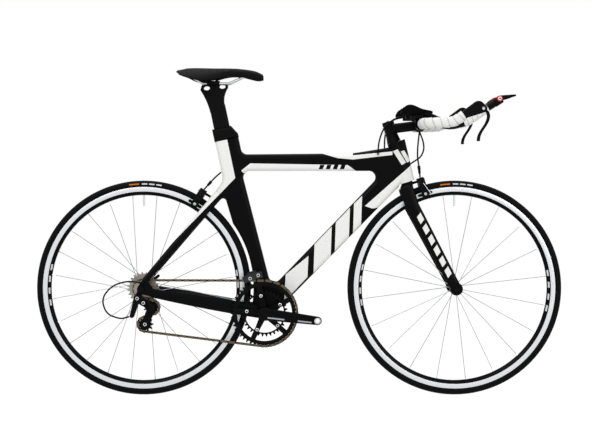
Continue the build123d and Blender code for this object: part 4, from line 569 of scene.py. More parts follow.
def rim_finish(name, axle):
    """Rim, anodised and then turned: a satin black wall with dashes and a bright grooved brake track."""
    base = linear(BLACK[0])
    material, tree, shader, place = begin(name, base, RIM_ROUGH, specular=BLACK_SHEEN)
    radius, turn = polar(tree, place, axle)
    group = node(tree, MATH, turn, DASH_GROUPS, DASH_START, operation="MULTIPLY_ADD")
    group = node(tree, MATH, node(tree, MATH, group, operation="FRACT"), DASH_SHARE, operation="LESS_THAN")
    dash = node(tree, MATH, turn, DASH_COUNT, operation="MULTIPLY")
    dash = node(tree, MATH, node(tree, MATH, dash, operation="FRACT"), DASH_FILL, operation="LESS_THAN")
    white = node(tree, MATH, group, dash, operation="MULTIPLY")
    white = node(tree, MATH, white, within(tree, radius, *DASH_BAND), operation="MULTIPLY")
    wall = node(tree, MIX, white, named={FIRST: base, SECOND: linear("#D5D5D3")}, **COLOUR)
    track = node(tree, MATH, radius, TRACK_INNER, operation="GREATER_THAN")
    colour = node(tree, MIX, track, named={FIRST: wall, SECOND: linear("#D9DADC")}, **COLOUR)
    tree.links.new(colour, shader["Base Color"])
    tree.links.new(node(tree, MATH, track, TRACK_METAL, operation="MULTIPLY"), shader["Metallic"])
    groove = node(tree, MATH, radius, math.tau / TRACK_GROOVE, operation="MULTIPLY")
    groove = node(tree, MATH, node(tree, MATH, groove, operation="SINE"), track, operation="MULTIPLY")
    relief = {"Height": groove, "Strength": GROOVE_BUMP, "Distance": GROOVE_DEPTH}
    tree.links.new(node(tree, "ShaderNodeBump", named=relief), shader["Normal"])
    return material


def tyre_finish(name, axle):
    """Vulcanised rubber: dull black, a little dustier on the tread, with fine moulded ribs on the walls."""
    material, tree, shader, place = begin(name, "#060607", TYRE_ROUGH[0], specular=BLACK_SHEEN)
    radius, turn = polar(tree, place, axle)
    noise = grain(tree, shader, place, *TYRE_GRAIN, *TYRE_ROUGH)
    colour = node(tree, MIX, noise, named={FIRST: linear("#050506"), SECOND: linear("#0B0B0C")}, **COLOUR)
    tread = node(tree, "ShaderNodeMapRange", radius, *TREAD_SPAN)
    colour = node(tree, MIX, tread, named={FIRST: colour, SECOND: linear("#0E0E0F")}, **COLOUR)
    band = within(tree, radius, *MARK_BAND)
    for start, end, tone in TYRE_MARKS:
        mark = node(tree, MATH, band, within(tree, turn, start / 360, end / 360), operation="MULTIPLY")
        colour = node(tree, MIX, mark, named={FIRST: colour, SECOND: linear(tone)}, **COLOUR)
    tree.links.new(colour, shader["Base Color"])
    ribs = node(tree, MATH, turn, math.tau * WALL_RIBS, operation="MULTIPLY")
    ribs = node(tree, MATH, ribs, operation="SINE")
    skin = shader["Normal"].links[0].from_socket
    relief = {"Height": ribs, "Normal": skin, "Strength": RIB_BUMP, "Distance": RIB_DEPTH}
    tree.links.new(node(tree, "ShaderNodeBump", named=relief), shader["Normal"])
    return material


def finish(material, *names):
    """Gives nodes of the frame a material in place of their plain one."""
    for name in names:
        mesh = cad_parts[name].data
        mesh.materials.clear()
        mesh.materials.append(material)


def point(place, y=0.0):
    """A side-view place as a point, at a distance across."""
    return Vector((place[0], y, place[1]))


def placed(name, data):
    """A new object in the scene."""
    made = bpy.data.objects.new(name, data)
    bpy.context.scene.collection.objects.link(made)
    return made


def piece(name, mesh, body, material, replaced=(), smooth=40.0):
    """Places a finished mesh on a body, smoothed up to an edge angle; without a material it keeps its own."""
    made = placed(name, mesh)
    if material is not None:
        mesh.materials.clear()
        mesh.materials.append(material)
    mesh.shade_smooth()
    mesh.set_sharp_from_angle(angle=math.radians(smooth))
    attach(made, body)
    if replaced:
        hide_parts(*replaced)
    return made


def mesh_of(name, points, faces):
    """A closed mesh with its faces turned outwards."""
    mesh = bpy.data.meshes.new(name)
    mesh.from_pydata([tuple(p) for p in points], [], faces)
    shape = bmesh.new()
    shape.from_mesh(mesh)
    bmesh.ops.remove_doubles(shape, verts=shape.verts, dist=1e-6)
    bmesh.ops.recalc_face_normals(shape, faces=shape.faces)
    shape.to_mesh(mesh)
    shape.free()
    return mesh


def loft(name, rings):
    """Closed skin through rings of as many points each, capped at both ends."""
    width = len(rings[0])
    points = [p for ring in rings for p in ring]
    faces = []
    for start in range(0, len(points) - width, width):
        for k in range(width):
            j = (k + 1) % width
            faces.append((start + k, start + j, start + width + j, start + width + k))
    faces.append(tuple(range(width)))
    faces.append(tuple(range(len(points) - width, len(points))))
    return mesh_of(name, points, faces)


def turned(name, profile, axle, segments):
    """Ring swept about a wheel's axle from a closed profile of radius and place across."""
    points, faces = [], []
    count = len(profile)
    for s in range(segments):
        angle = math.tau * s / segments
        for radius, y in profile:
            points.append((axle[0] + radius * math.cos(angle), y, axle[1] + radius * math.sin(angle)))
        following = (s + 1) % segments
        for i in range(count):
            j = (i + 1) % count
            faces.append((s * count + i, s * count + j, following * count + j, following * count + i))
    return mesh_of(name, points, faces)


def rounded(corners, radii, step):
    """Points along straight runs joined by tangent arcs."""
    corners = [Vector(c) for c in corners]
    path = [corners[0]]
    for before, corner, after, radius in zip(corners, corners[1:], corners[2:], radii):
        a, b = (before - corner).normalized(), (after - corner).normalized()
        half = a.angle(b) / 2
        cut = radius / math.tan(half)
        middle = corner + (a + b).normalized() * radius / math.sin(half)
        start, sweep = corner + a * cut - middle, math.pi - 2 * half
        axis = start.cross(corner + b * cut - middle).normalized()
        steps = max(2, int(radius * sweep / step))
        path += [middle + Matrix.Rotation(sweep * i / steps, 3, axis) @ start for i in range(steps + 1)]
    path.append(corners[-1])
    even = [path[0]]
    for a, b in zip(path, path[1:]):
        count = max(1, round((b - a).length / step))
        even += [a.lerp(b, (i + 1) / count) for i in range(count)]
    return even


def straight(ends, steps):
    """Points along a straight run."""
    start, end = Vector(ends[0]), Vector(ends[1])
    return [start.lerp(end, i / steps) for i in range(steps + 1)]


def tube(name, path, radius_at, sides):
    """Skin round a path; radius_at gives the radius at a distance along it and an angle round it."""
    rings = []
    along = 0.0
    side = None
    for i, p in enumerate(path):
        ahead = (path[min(i + 1, len(path) - 1)] - path[max(i - 1, 0)]).normalized()
        if side is None:
            side = ahead.orthogonal().normalized()
        side = (side - ahead * side.dot(ahead)).normalized()
        up = ahead.cross(side)
        along += (p - path[i - 1]).length if i else 0.0
        turns = [math.tau * k / sides for k in range(sides)]
        rings.append([p + (side * math.cos(t) + up * math.sin(t)) * radius_at(along, t) for t in turns])
    return loft(name, rings)


def lathe(name, profile, sides):
    """A small round piece about its own z axis, from radius and height pairs that begin and end on it."""
    points, faces = [], []
    count = len(profile)
    for k in range(sides):
        turn = math.tau * k / sides
        points += [(r * math.cos(turn), r * math.sin(turn), z) for r, z in profile]
        a, b = k * count, (k + 1) % sides * count
        faces += [(a + i, b + i, b + i + 1, a + i + 1) for i in range(count - 1)]
    return mesh_of(name, points, faces)


def disc(name, radius, height, sides, bevel=(0.0, 0.0)):
    """A round disc with its upper edge bevelled."""
    edge = [(radius, height - bevel[1]), (radius - bevel[0], height)]
    return lathe(name, list(dict.fromkeys([(0, 0), (radius, 0), *edge, (0, height)])), sides)


def socket_bolt(name, radius, height):
    """A round bolt head with a socket in it."""
    edge = radius * HEAD_EDGE
    floor = height * SOCKET_DEPTH
    head = [(0, 0), (radius, 0), (radius, height - edge), (radius - edge, height)]
    socket = [(radius * SOCKET_MOUTH, height), (radius * SOCKET_FLOOR, floor), (0, floor)]
    return lathe(name, head + socket, 12)


def through(stations, place):
    """Values at a place along stations, on a smooth curve through them."""
    number = 0
    while number < len(stations) - 2 and place > stations[number + 1][0]:
        number += 1
    a, b = stations[number], stations[number + 1]
    before = stations[max(number - 1, 0)]
    after = stations[min(number + 2, len(stations) - 1)]
    width = b[0] - a[0]
    t = (place - a[0]) / width
    values = []
    for i in range(1, len(a)):
        leave = (b[i] - before[i]) / (b[0] - before[0]) * width
        arrive = (after[i] - a[i]) / (after[0] - a[0]) * width
        first, second = 2 * t**3 - 3 * t**2 + 1, t**3 - 2 * t**2 + t
        third, fourth = 3 * t**2 - 2 * t**3, t**3 - t**2
        values.append(first * a[i] + second * leave + third * b[i] + fourth * arrive)
    return values


def slab(side_outline, low, high):
    """Points and faces of an upright slab between two places across, from a side outline."""
    count = len(side_outline)
    points = [(x, y, z) for y in (low, high) for x, z in side_outline]
    faces = [tuple(range(count)), tuple(range(count, 2 * count))]
    faces += [(i, (i + 1) % count, count + (i + 1) % count, count + i) for i in range(count)]
    return points, faces


def joined(parts):
    """Several sets of points and faces as one."""
    points, faces = [], []
    for more, their in parts:
        faces += [tuple(i + len(points) for i in face) for face in their]
        points += more
    return points, faces


def round_outline(x, radius, count):
    """Side outline of a round piece at a place along a link."""
    turns = [math.tau * i / count for i in range(count)]
    return [(x + radius * math.cos(t), radius * math.sin(t)) for t in turns]


def inflated(mesh, pressure, swell):
    """A padded form: blown up as cloth with its movement capped, and smoothed by one subdivision."""
    scene = bpy.context.scene
    work = placed("padding", mesh)

    def settle():
        bpy.context.view_layer.update()
        ready = work.evaluated_get(bpy.context.evaluated_depsgraph_get())
        result = bpy.data.meshes.new_from_object(ready)
        work.modifiers.clear()
        work.data = result

    rest = [v.co.copy() for v in work.data.vertices]
    cloth = work.modifiers.new("cloth", "CLOTH")
    cloth.settings.use_pressure = True
    cloth.settings.uniform_pressure_force = pressure
    cloth.settings.effector_weights.gravity = 0.0
    for moment in range(1, PADDING_FRAMES + 1):
        scene.frame_set(moment)
    settle()
    scene.frame_set(1)
    for vertex, before in zip(work.data.vertices, rest):
        move = vertex.co - before
        vertex.co = before + move.normalized() * min(move.length, swell)
    smooth = work.modifiers.new("smooth", "SUBSURF")
    smooth.levels = smooth.render_levels = 1
    settle()
    result = work.data
    bpy.data.objects.remove(work)
    return result


def new_tree(name, socket_shades):
    """An empty geometry tree with its inputs named, and those inputs."""
    tree = bpy.data.node_groups.new(name, "GeometryNodeTree")
    tree.interface.new_socket("Geometry", in_out="INPUT", socket_type="NodeSocketGeometry")
    for label, kind in socket_shades:
        tree.interface.new_socket(label, in_out="INPUT", socket_type=kind)
    tree.interface.new_socket("Geometry", in_out="OUTPUT", socket_type="NodeSocketGeometry")
    return tree, node(tree, "NodeGroupInput", out=None).outputs


def made_by_nodes(name, source, tree, inputs):
    """Runs a geometry tree on a source's data and returns the plain mesh it gives."""
    holder = placed(name + "_source", source)
    modifier = holder.modifiers.new("nodes", "NODES")
    modifier.node_group = tree
    for item in tree.interface.items_tree:
        if item.item_type == "SOCKET" and item.in_out == "INPUT" and item.name in inputs:
            modifier[item.identifier] = inputs[item.name]
    bpy.context.view_layer.update()
    ready = holder.evaluated_get(bpy.context.evaluated_depsgraph_get())
    mesh = bpy.data.meshes.new_from_object(ready)
    mesh.name = name
    bpy.data.objects.remove(holder)
    return mesh


def fixings(name, places, shape, look, body, replaced=()):
    """Copies of a small shape, each at a point with its z axis along a direction, as one piece."""
    points = bpy.data.meshes.new(name + "_points")
    points.from_pydata([tuple(p) for p, _ in places], [], [])
    aims = points.attributes.new("aim", "FLOAT_VECTOR", "POINT")
    for value, (_, aim) in zip(aims.data, places):
        value.vector = aim
    pattern = placed(name + "_shape", shape)
    tree, given = new_tree(name, [("Shape", "NodeSocketObject")])
    aim = node(tree, "GeometryNodeInputNamedAttribute", data_type="FLOAT_VECTOR", named={"Name": "aim"})
    turn = node(tree, "FunctionNodeAlignRotationToVector", axis="Z", named={"Vector": aim})
    what = node(tree, "GeometryNodeObjectInfo", out="Geometry", named={"Object": given["Shape"]})
    wiring = {"Points": given["Geometry"], "Instance": what, "Rotation": turn}
    copies = node(tree, "GeometryNodeInstanceOnPoints", named=wiring)
    real = node(tree, "GeometryNodeRealizeInstances", copies)
    coated = node(tree, "GeometryNodeSetMaterial", real, named={"Material": surface(look)})
    node(tree, "NodeGroupOutput", coated, out=None)
    mesh = made_by_nodes(name, points, tree, {"Shape": pattern})
    bpy.data.objects.remove(pattern)
    piece(name, mesh, body, None, replaced)


class BikeFinish(bpy.types.PropertyGroup):
    """Colours that a user would change."""

    frame_black: FloatVectorProperty(
        name="Frame black",
        description="Dark colour of the frame's enamel",
        subtype="COLOR",
        default=linear("#030304")[:3],
    )
    frame_white: FloatVectorProperty(
        name="Frame white",
        description="Light colour of the frame's panels",
        subtype="COLOR",
        default=linear("#EDEDEC")[:3],
    )
    tape_white: FloatVectorProperty(
        name="Tape white",
        description="Colour of the handlebar tape",
        subtype="COLOR",
        default=linear("#EFEFEC")[:3],
    )


class BikeSizes(bpy.types.PropertyGroup):
    """Sizes of the coverings that a user would change."""

    wrap_pitch: FloatProperty(
        name="Wrap pitch", description="Distance between the tape's turns", default=0.021, unit="LENGTH"
    )
    tyre_segments: IntProperty(
        name="Tyre segments", description="Steps round each tyre and rim", default=180, min=48, max=360
    )
    chain_plate: FloatProperty(
        name="Chain plate", description="Height of a chain plate", default=0.0084, unit="LENGTH"
    )


class BIKE_OT_frame(bpy.types.Operator):
    """Paint the frame and the fork in two tones"""

    bl_idname = "bike.frame"
    bl_label = "Frame and fork"

    def execute(self, context):
        colours = context.scene.bike_finish
        tones = (colours.frame_black, colours.frame_white)
        finish(painted("enamel_seat_tube", [REAR_PANEL, STAY_PANEL], *tones), "seat_tube")
        finish(painted("enamel_seatstay", [STAY_PANEL], *tones), "seatstay_left", "seatstay_right")
        finish(painted("enamel_top_tube", [TOP_STRIP, TOP_BAND, TOP_LINE], *tones, STRIP_BARS), "top_tube")
        finish(painted("enamel_down_tube", [HEAD_WEDGE, CRANK_PANEL, *TUBE_BARS], *tones), "down_tube")
        finish(painted("enamel_head_tube", [HEAD_WEDGE, TOP_LINE, *HEAD_BARS], *tones), "head_tube")
        finish(painted("enamel_fork", fork_bars(), *tones), "fork")
        bare = painted("enamel_black", [], *tones)
        finish(bare, "crank_shell", "chainstay_left", "chainstay_right", "dropout_left", "dropout_right")
        return {"FINISHED"}


class BIKE_OT_wheels(bpy.types.Operator):
    """Turn the tyres and rims and finish hubs and spokes"""

    bl_idname = "bike.wheels"
    bl_label = "Wheels"

    def execute(self, context):
        segments = context.scene.bike_sizes.tyre_segments
        half = TYRE_WIDTH / 2
        middle = TYRE_RADIUS - half
        bead = math.acos((RIM_OUTER - middle) / half)
        turns = [-bead + 2 * bead * i / CASING_STEPS for i in range(CASING_STEPS + 1)]
        casing = [(middle + half * math.cos(t), half * math.sin(t)) for t in turns]
        rim = [*RIM_WALL, (RIM_INNER - RIM_NOSE, 0.0)] + [(r, -y) for r, y in reversed(RIM_WALL)]
        for wheel, axle, spokes in (("front", FRONT_AXLE, FRONT_SPOKES), ("rear", REAR_AXLE, REAR_SPOKES)):
            body = wheel + "_wheel"
            name = wheel + "_tyre_casing"
            rubber = tyre_finish(wheel + "_rubber", axle)
            piece(name, turned(name, casing, axle, segments), body, rubber, [wheel + "_tyre"])
            name = wheel + "_rim_hoop"
            alloy = rim_finish(wheel + "_rim_anodised", axle)
            piece(name, turned(name, rim, axle, segments), body, alloy, [wheel + "_rim"])
            places = []
            for number in range(spokes):
                angle = math.radians(SPOKE_START + number * 360 / spokes)
                out = point((math.cos(angle), math.sin(angle)))
                seat = point(axle, (-1) ** number * NIPPLE_OFFSET)
                places.append((seat + out * (RIM_INNER + NIPPLE_SEAT), -out))
            nipple = lathe("nipple", NIPPLE, 8)
            fixings(wheel + "_nipples", places, nipple, "polished_aluminium", body)
            finish(surface("stainless_spoke"), wheel + "_spokes")
            finish(surface("anodised_hub"), wheel + "_hub", wheel + "_skewer")
            finish(surface("polished_aluminium"), wheel + "_valve")
        return {"FINISHED"}


def chain_path():
    """Points along the chain's pitch line, round ring, cog and pulleys."""

    def pitch_radius(teeth):
        return CHAIN_PITCH / 2 / math.sin(math.pi / teeth)

    wheels = (
        (CRANK, pitch_radius(RING_TEETH), -1),
        (TENSION_PULLEY, pitch_radius(PULLEY_TEETH), -1),
        (GUIDE_PULLEY, pitch_radius(PULLEY_TEETH), 1),
        (REAR_AXLE, pitch_radius(COG_TEETH), -1),
    )
    normals = []
    for number, (a, ra, turn_a) in enumerate(wheels):
        b, rb, turn_b = wheels[(number + 1) % len(wheels)]
        heading = math.atan2(b[1] - a[1], b[0] - a[0])
        reach = math.hypot(b[0] - a[0], b[1] - a[1])
        normals.append(heading + math.acos((-turn_a * ra + turn_b * rb) / reach))
    path = []
    for number, (centre, radius, turn) in enumerate(wheels):
        arrive, leave = normals[number - 1], normals[number]
        sweep = (leave - arrive) * turn % math.tau * turn
        steps = max(3, int(radius * abs(sweep) / CHAIN_STEP))
        for i in range(steps + 1):
            angle = arrive + sweep * i / steps
            out = point((math.cos(angle), math.sin(angle)))
            path.append(point(centre, CHAIN_LINE) - out * turn * radius)
    return path


class BIKE_OT_drivetrain(bpy.types.Operator):
    """Make the chain's links and finish crank, rings, cogs and derailleurs"""

    bl_idname = "bike.drivetrain"
    bl_label = "Drivetrain"

    def link_shape(self, name, gap, thick, height, rollers):
        """One link: two waisted plates, with rollers or pin ends."""
        half = CHAIN_PITCH / 2
        plate = []
        for i in range(LINK_STEPS):
            turn = math.tau * i / LINK_STEPS
            waisted = abs(math.cos(turn)) < WAIST_SPAN
            radius = height / 2 * (LINK_WAIST if waisted else 1.0)
            end = 0.0 if waisted else math.copysign(half, math.cos(turn))
            plate.append((end + radius * math.cos(turn), radius * math.sin(turn)))
        parts = [slab(plate, hand * gap / 2, hand * (gap / 2 + thick)) for hand in (1, -1)]
        for end in (half, -half):
            if rollers:
                parts.append(slab(round_outline(end, ROLLER_RADIUS, 10), -gap / 2, gap / 2))
            else:
                reach = gap / 2 + thick + PIN_END
                parts.append(slab(round_outline(end, PIN_RADIUS, 8), -reach, reach))
        return placed(name, mesh_of(name, *joined(parts)))

    def links(self, height):
        """Outer and inner links in turn along the chain's path."""
        path = chain_path()
        length = sum((b - a).length for a, b in zip(path, path[1:] + path[:1]))
        outer = self.link_shape("outer_link", *OUTER_LINK, height, False)
        inner = self.link_shape("inner_link", *INNER_LINK, height * INNER_PLATE_SHARE, True)
        inputs = {"Links": 2 * round(length / CHAIN_PITCH / 2), "Outer link": outer, "Inner link": inner}
        kinds = ("NodeSocketInt", "NodeSocketObject", "NodeSocketObject")
        tree, given = new_tree("chain_links", zip(inputs, kinds))
        along = {"Curve": given["Geometry"], "Count": given["Links"]}
        spread = node(tree, "GeometryNodeCurveToPoints", mode="COUNT", named=along, out=None).outputs
        heading = {"Vector": spread["Tangent"]}
        turn = node(tree, "FunctionNodeAlignRotationToVector", axis="X", pivot_axis="Y", named=heading)
        index = node(tree, "GeometryNodeInputIndex")
        odd = node(tree, MATH, index, 2.0, operation="MODULO")
        even = node(tree, MATH, 1.0, odd, operation="SUBTRACT")
        both = node(tree, "GeometryNodeJoinGeometry", out=None)
        for label, chosen, steel in (
            ("Outer link", odd, "bronzed_chain_steel"),
            ("Inner link", even, "oiled_chain_steel"),
        ):
            shape = node(tree, "GeometryNodeObjectInfo", out="Geometry", named={"Object": given[label]})
            shape = node(tree, "GeometryNodeSetMaterial", shape, named={"Material": surface(steel)})
            wiring = {"Points": spread["Points"], "Selection": chosen, "Instance": shape, "Rotation": turn}
            copies = node(tree, "GeometryNodeInstanceOnPoints", named=wiring)
            tree.links.new(copies, both.inputs[0])
        real = node(tree, "GeometryNodeRealizeInstances", both.outputs[0])
        node(tree, "NodeGroupOutput", real, out=None)
        curve = bpy.data.curves.new("chain_line", "CURVE")
        curve.dimensions = "3D"
        line = curve.splines.new("POLY")
        line.points.add(len(path) - 1)
        for spot, p in zip(line.points, path):
            spot.co = (*p, 1.0)
        line.use_cyclic_u = True
        mesh = made_by_nodes("chain_links", curve, tree, inputs)
        for shape in (outer, inner):
            bpy.data.objects.remove(shape)
        piece("chain_links", mesh, "frame", None, ["chain"])

    def bolts(self):
        """Ring bolts, the eyes for the pedals and the derailleur's bolts, with black discs as painted shade
        in the bolts' sockets.
        """
        low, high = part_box("chainring_bolts")
        across = (low.y + high.y) / 2
        reach = (high.y - low.y) / 2
        rings, socket_shades = [], []
        for number in range(RING_BOLT_COUNT):
            angle = math.radians(SPIDER_ANGLE + 360 / RING_BOLT_COUNT * number)
            spot = point(CRANK, across) + point((math.cos(angle), math.sin(angle))) * SPIDER_RADIUS
            for hand in (1, -1):
                out = Vector((0, hand, 0))
                rings.append((spot, out))
                socket_shades.append((spot + out * (reach - RING_SOCKET_SHADE_SINK), out))
        sleeve = disc("sleeve", RING_BOLT_RADIUS, reach, 20, RING_BOLT_BEVEL)
        fixings("ring_bolts", rings, sleeve, "machined_steel", "crank", ["chainring_bolts"])
        # Painted shade: a black disc for the dark inside of each ring bolt's socket
        socket = disc("socket", *RING_SOCKET_SHADE, 12)
        fixings("ring_bolt_sockets", socket_shades, socket, "anodised_black", "crank")
        for side, place, hand in (("right", RIGHT_PEDAL, -1), ("left", LEFT_PEDAL, 1)):
            mesh = turned("pedal_eye", [(r, hand * y) for r, y in PEDAL_EYE], place, 40)
            piece("pedal_eye_" + side, mesh, "crank", surface("machined_steel"))
        out = Vector((0, -1, 0))
        knuckle = [a + (b - a) * KNUCKLE_SHARE for a, b in zip(HANGER, GUIDE_PULLEY)]
        places = []
        for solid, spots in (
            ("derailleur_cage", (TENSION_PULLEY,)),
            ("derailleur_body", (HANGER, knuckle)),
            ("front_derailleur", CAGE_BOLTS),
        ):
            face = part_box(solid)[0].y
            places += [(point(spot, face + DERAILLEUR_BOLT_SEAT), out) for spot in spots]
        head = socket_bolt("bolt", *DERAILLEUR_BOLT)
        fixings("derailleur_bolts", places, head, "machined_steel", "frame")
        # Painted shade: a black disc for the dark inside of each derailleur bolt's socket
        places = [(spot + out * DERAILLEUR_SOCKET_SHADE_LIFT, out) for spot, _ in places]
        socket = disc("socket", *DERAILLEUR_SOCKET_SHADE, 12)
        fixings("derailleur_bolt_sockets", places, socket, "anodised_black", "frame")

    def execute(self, context):
        self.links(context.scene.bike_sizes.chain_plate)
        self.bolts()
        black = context.scene.bike_finish.frame_black
        finish(painted("anodised_crank", CRANK_LINES, black, "#A9AAAD"), "crank_right")
        finish(surface("nickelled_cog_steel"), "cassette")
        finish(surface("moulded_nylon"), "derailleur_pulleys")
        finish(surface("satin_cage_steel"), "front_derailleur")
        black = surface("anodised_black")
        finish(black, "crank_left", "crank_spindle", "chainring_large", "chainring_small")
        finish(black, "derailleur_cage", "derailleur_body")
        return {"FINISHED"}


class BIKE_OT_cockpit(bpy.types.Operator):
    """Wrap the bars and finish stem, levers, shifters and arm rests"""

    bl_idname = "bike.cockpit"
    bl_label = "Cockpit"

    def wrapped(self, path, radius, hand, pitch):
        """Tape wound round a path with each turn lapped over the one before, and painted shade at each lap's
        step.
        """
        shades = []

        def lap(along, turn):
            share = (along / pitch + hand * turn / math.tau) % 1.0
            # Painted shade: darkest at the step where this turn laps over the one before, fading out along
            # the turn
            shades.append(min(1.0, LAP_SHADE_START + share / LAP_SHADE_SPAN))
            return radius + TAPE_THICKNESS + TAPE_LAP * share**LAP_CURVE

        mesh = tube("tape", path, lap, TAPE_SIDES)
        painted_lap_shade = mesh.attributes.new("painted_lap_shade", "FLOAT", "POINT")
        painted_lap_shade.data.foreach_set("value", shades)
        return mesh

    def cushion(self, hand):
        """Cupped pad, high at the elbow and low in front."""
        first, last = PAD_EDGE[0][0], PAD_EDGE[-1][0]
        shares = [-1 + 2 * k / (PAD_COLUMNS - 1) for k in range(PAD_COLUMNS)]
        rings = []
        for i in range(PAD_ROWS):
            share = i / (PAD_ROWS - 1)
            ahead = first + (last - first) * share
            edge = through(PAD_EDGE, ahead)[0] - PAD_SKIN
            body = (1 - abs(2 * share - 1) ** PAD_END_POWER) ** 0.5
            half = math.sqrt(PAD_ROUND**2 - (PAD_ROUND - min(edge, PAD_CUP)) ** 2)
            half *= 1 - PAD_TAPER + PAD_TAPER * body
            lift = max(0.0, edge - PAD_CUP)
            over, under = [], []
            for v in shares:
                y = half * v
                low = PAD_ROUND - math.sqrt(PAD_ROUND**2 - y**2) + PAD_GAP + lift * v**2
                fill = body * (1 - abs(v) ** PAD_SIDE_POWER) ** 0.5
                high = low + PAD_SKIN + (PAD_DEPTH - PAD_SKIN) * fill
                spot = point(PAD_MIDDLE, hand * PAD_HALF) + Vector((ahead, y, 0))
                over.append(spot + Vector((0, 0, high)))
                under.append(spot + Vector((0, 0, low)))
            rings.append(over + under[-2:0:-1])
        return loft("cushion", rings)

    def controls(self, hand, side):
        """Pins of a brake lever and the coloured end of a shifter."""
        out = Vector((0, hand, 0))
        spot = point(LEVER_PIVOT, hand * BAR_HALF)
        pins = [(spot + out * LEVER_HALF, out), (spot - out * LEVER_HALF, -out)]
        head = socket_bolt("pin", *LEVER_PIN)
        fixings("lever_pins_" + side, pins, head, "bright_bolt_steel", "steering")
        boss = point(SHIFTER_BOSS, hand * EXTENSION_HALF)
        ends = [(boss, out), (boss, -out)]
        ring = disc("ring", *SHIFTER_RING, 24, SHIFTER_RING_BEVEL)
        fixings("shifter_rings_" + side, ends, ring, "red_end_ring", "steering")
        cap = disc("cap", *SHIFTER_CAP, 24, SHIFTER_CAP_BEVEL)
        fixings("shifter_caps_" + side, ends, cap, "white_end_ring", "steering")
        screw = disc("screw", *SHIFTER_SCREW, 16)
        fixings("shifter_screws_" + side, ends, screw, "anodised_black", "steering")

    def stem_bolts(self):
        """The cap's bolt, two behind the steerer and four in the bar's clamp."""
        up = point((-math.sin(HEAD_LEAN), math.cos(HEAD_LEAN)))
        back = up.cross(Vector((0, 1, 0)))
        foot = point(STEER_FOOT)
        places = [(foot + up * STEM_CAP, up)]
        places += [(foot + up * along + back * STEM_BACK, back) for along in STEM_CLAMP_BOLTS]
        across, rise = STEM_FACE_BOLTS
        for hand in (1, -1):
            for above in (rise, -rise):
                spot = point(BAR) + Vector((STEM_FACE, hand * across, above))
                places.append((spot, Vector((1, 0, 0))))
        head = socket_bolt("bolt", *STEM_BOLT)
        fixings("stem_bolts", places, head, "bright_bolt_steel", "steering")

    def execute(self, context):
        pitch = context.scene.bike_sizes.wrap_pitch
        tape = tape_finish("white_cork_tape", context.scene.bike_finish.tape_white)
        end = [b + (t - b) * TAPE_ON_HORN for b, t in zip(HORN_BEND, HORN_TIP)]
        low, high = TAPE_ON_EXTENSION
        for hand, side in ((1, "left"), (-1, "right")):
            corners = [point(BAR, hand * (BAR_HALF - TAPE_ON_BAR))]
            corners += [point(place, hand * BAR_HALF) for place in (BAR, HORN_BEND, end)]
            mesh = self.wrapped(rounded(corners, BAR_BENDS, TAPE_STEP), BAR_RADIUS, hand, pitch)
            piece("bar_tape_" + side, mesh, "steering", tape, ["bar_tape"], smooth=60.0)
            corners = [point(place, hand * EXTENSION_HALF) for place in EXTENSION_CORNERS]
            path = [p for p in rounded(corners, EXTENSION_BENDS, TAPE_STEP) if low < p.x < high]
            mesh = self.wrapped(path, EXTENSION_RADIUS, -hand, pitch * NARROW_WRAP)
            piece("extension_tape_" + side, mesh, "steering", tape, smooth=60.0)
            mesh = self.cushion(hand)
            mesh = inflated(mesh, PAD_PRESSURE, PAD_SWELL)
            foam = surface("fleece_faced_foam")
            pad = piece("arm_cushion_" + side, mesh, "steering", foam, ["arm_pads"])
            self.controls(hand, side)
            finish(surface("moulded_hood_rubber"), "brake_lever_" + side, "shifter_" + side)
            finish(surface("anodised_black"), "extension_" + side)
        self.stem_bolts()
        finish(surface("anodised_black"), "stem", "base_bar", "headset_spacer", "pad_brackets")
        return {"FINISHED"}


class BIKE_OT_seat(bpy.types.Operator):
    """Cover the saddle and finish post, collar and rails"""

    bl_idname = "bike.seat"
    bl_label = "Seat"

    def arch(self, place, v, drop):
        """Point below the saddle's arched top by a drop, at a share of its half width."""
        half, edge, crown = through(SADDLE_STATIONS, place)
        rise = crown - edge
        round_radius = (half**2 + rise**2) / (2 * rise)
        reach = math.asin(min(1.0, half / round_radius))
        if rise > half:
            reach = math.pi - reach
        angle = reach * v
        radius = round_radius - drop
        return Vector((place, radius * math.sin(angle), crown - round_radius + radius * math.cos(angle)))

    def skin(self):
        """Closed pad between the cover's top and its underside."""
        first, last = SADDLE_STATIONS[0][0], SADDLE_STATIONS[-1][0]
        shares = [-1 + 2 * k / (COVER_COLUMNS - 1) for k in range(COVER_COLUMNS)]
        rings = []
        for i in range(COVER_ROWS):
            share = i / (COVER_ROWS - 1)
            place = first + (last - first) * share
            tuck = COVER_TUCK * (2 * share - 1) ** TUCK_POWER
            over = [self.arch(place, v, COVER_INSET + tuck) for v in shares]
            under = [self.arch(place, v, COVER_DEPTH - tuck) for v in shares[-2:0:-1]]
            rings.append(over + under)
        return loft("saddle_skin", rings)

    def execute(self, context):
        mesh = self.skin()
        mesh = inflated(mesh, COVER_PRESSURE, COVER_SWELL)
        leather = surface("synthetic_leather")
        cover = piece("saddle_cover", mesh, "frame", leather, ["saddle_pad"])
        places = []
        for hand in (1, -1):
            stops = [STITCH_START + STITCH_STEP * i for i in range(STITCH_COUNT)]
            row = [self.arch(stop, hand * STITCH_SHARE, STITCH_SINK) for stop in stops]
            places += [((a + b) / 2, b - a) for a, b in zip(row, row[1:])]
        stitch = lathe("stitch", STITCH, 5)
        fixings("saddle_stitches", places, stitch, "polyester_thread", "frame")
        places = [(point(SADDLE_BOLT_PLACE), Vector((0, 0, 1)))]
        head = socket_bolt("bolt", *SADDLE_BOLT)
        fixings("saddle_bolt", places, head, "plated_bolt_steel", "frame")
        finish(surface("anodised_post"), "seatpost", "seat_collar", "saddle_clamp")
        finish(surface("drawn_steel_rail"), "saddle_rails")
        finish(surface("moulded_saddle_base"), "saddle_shell")
        return {"FINISHED"}


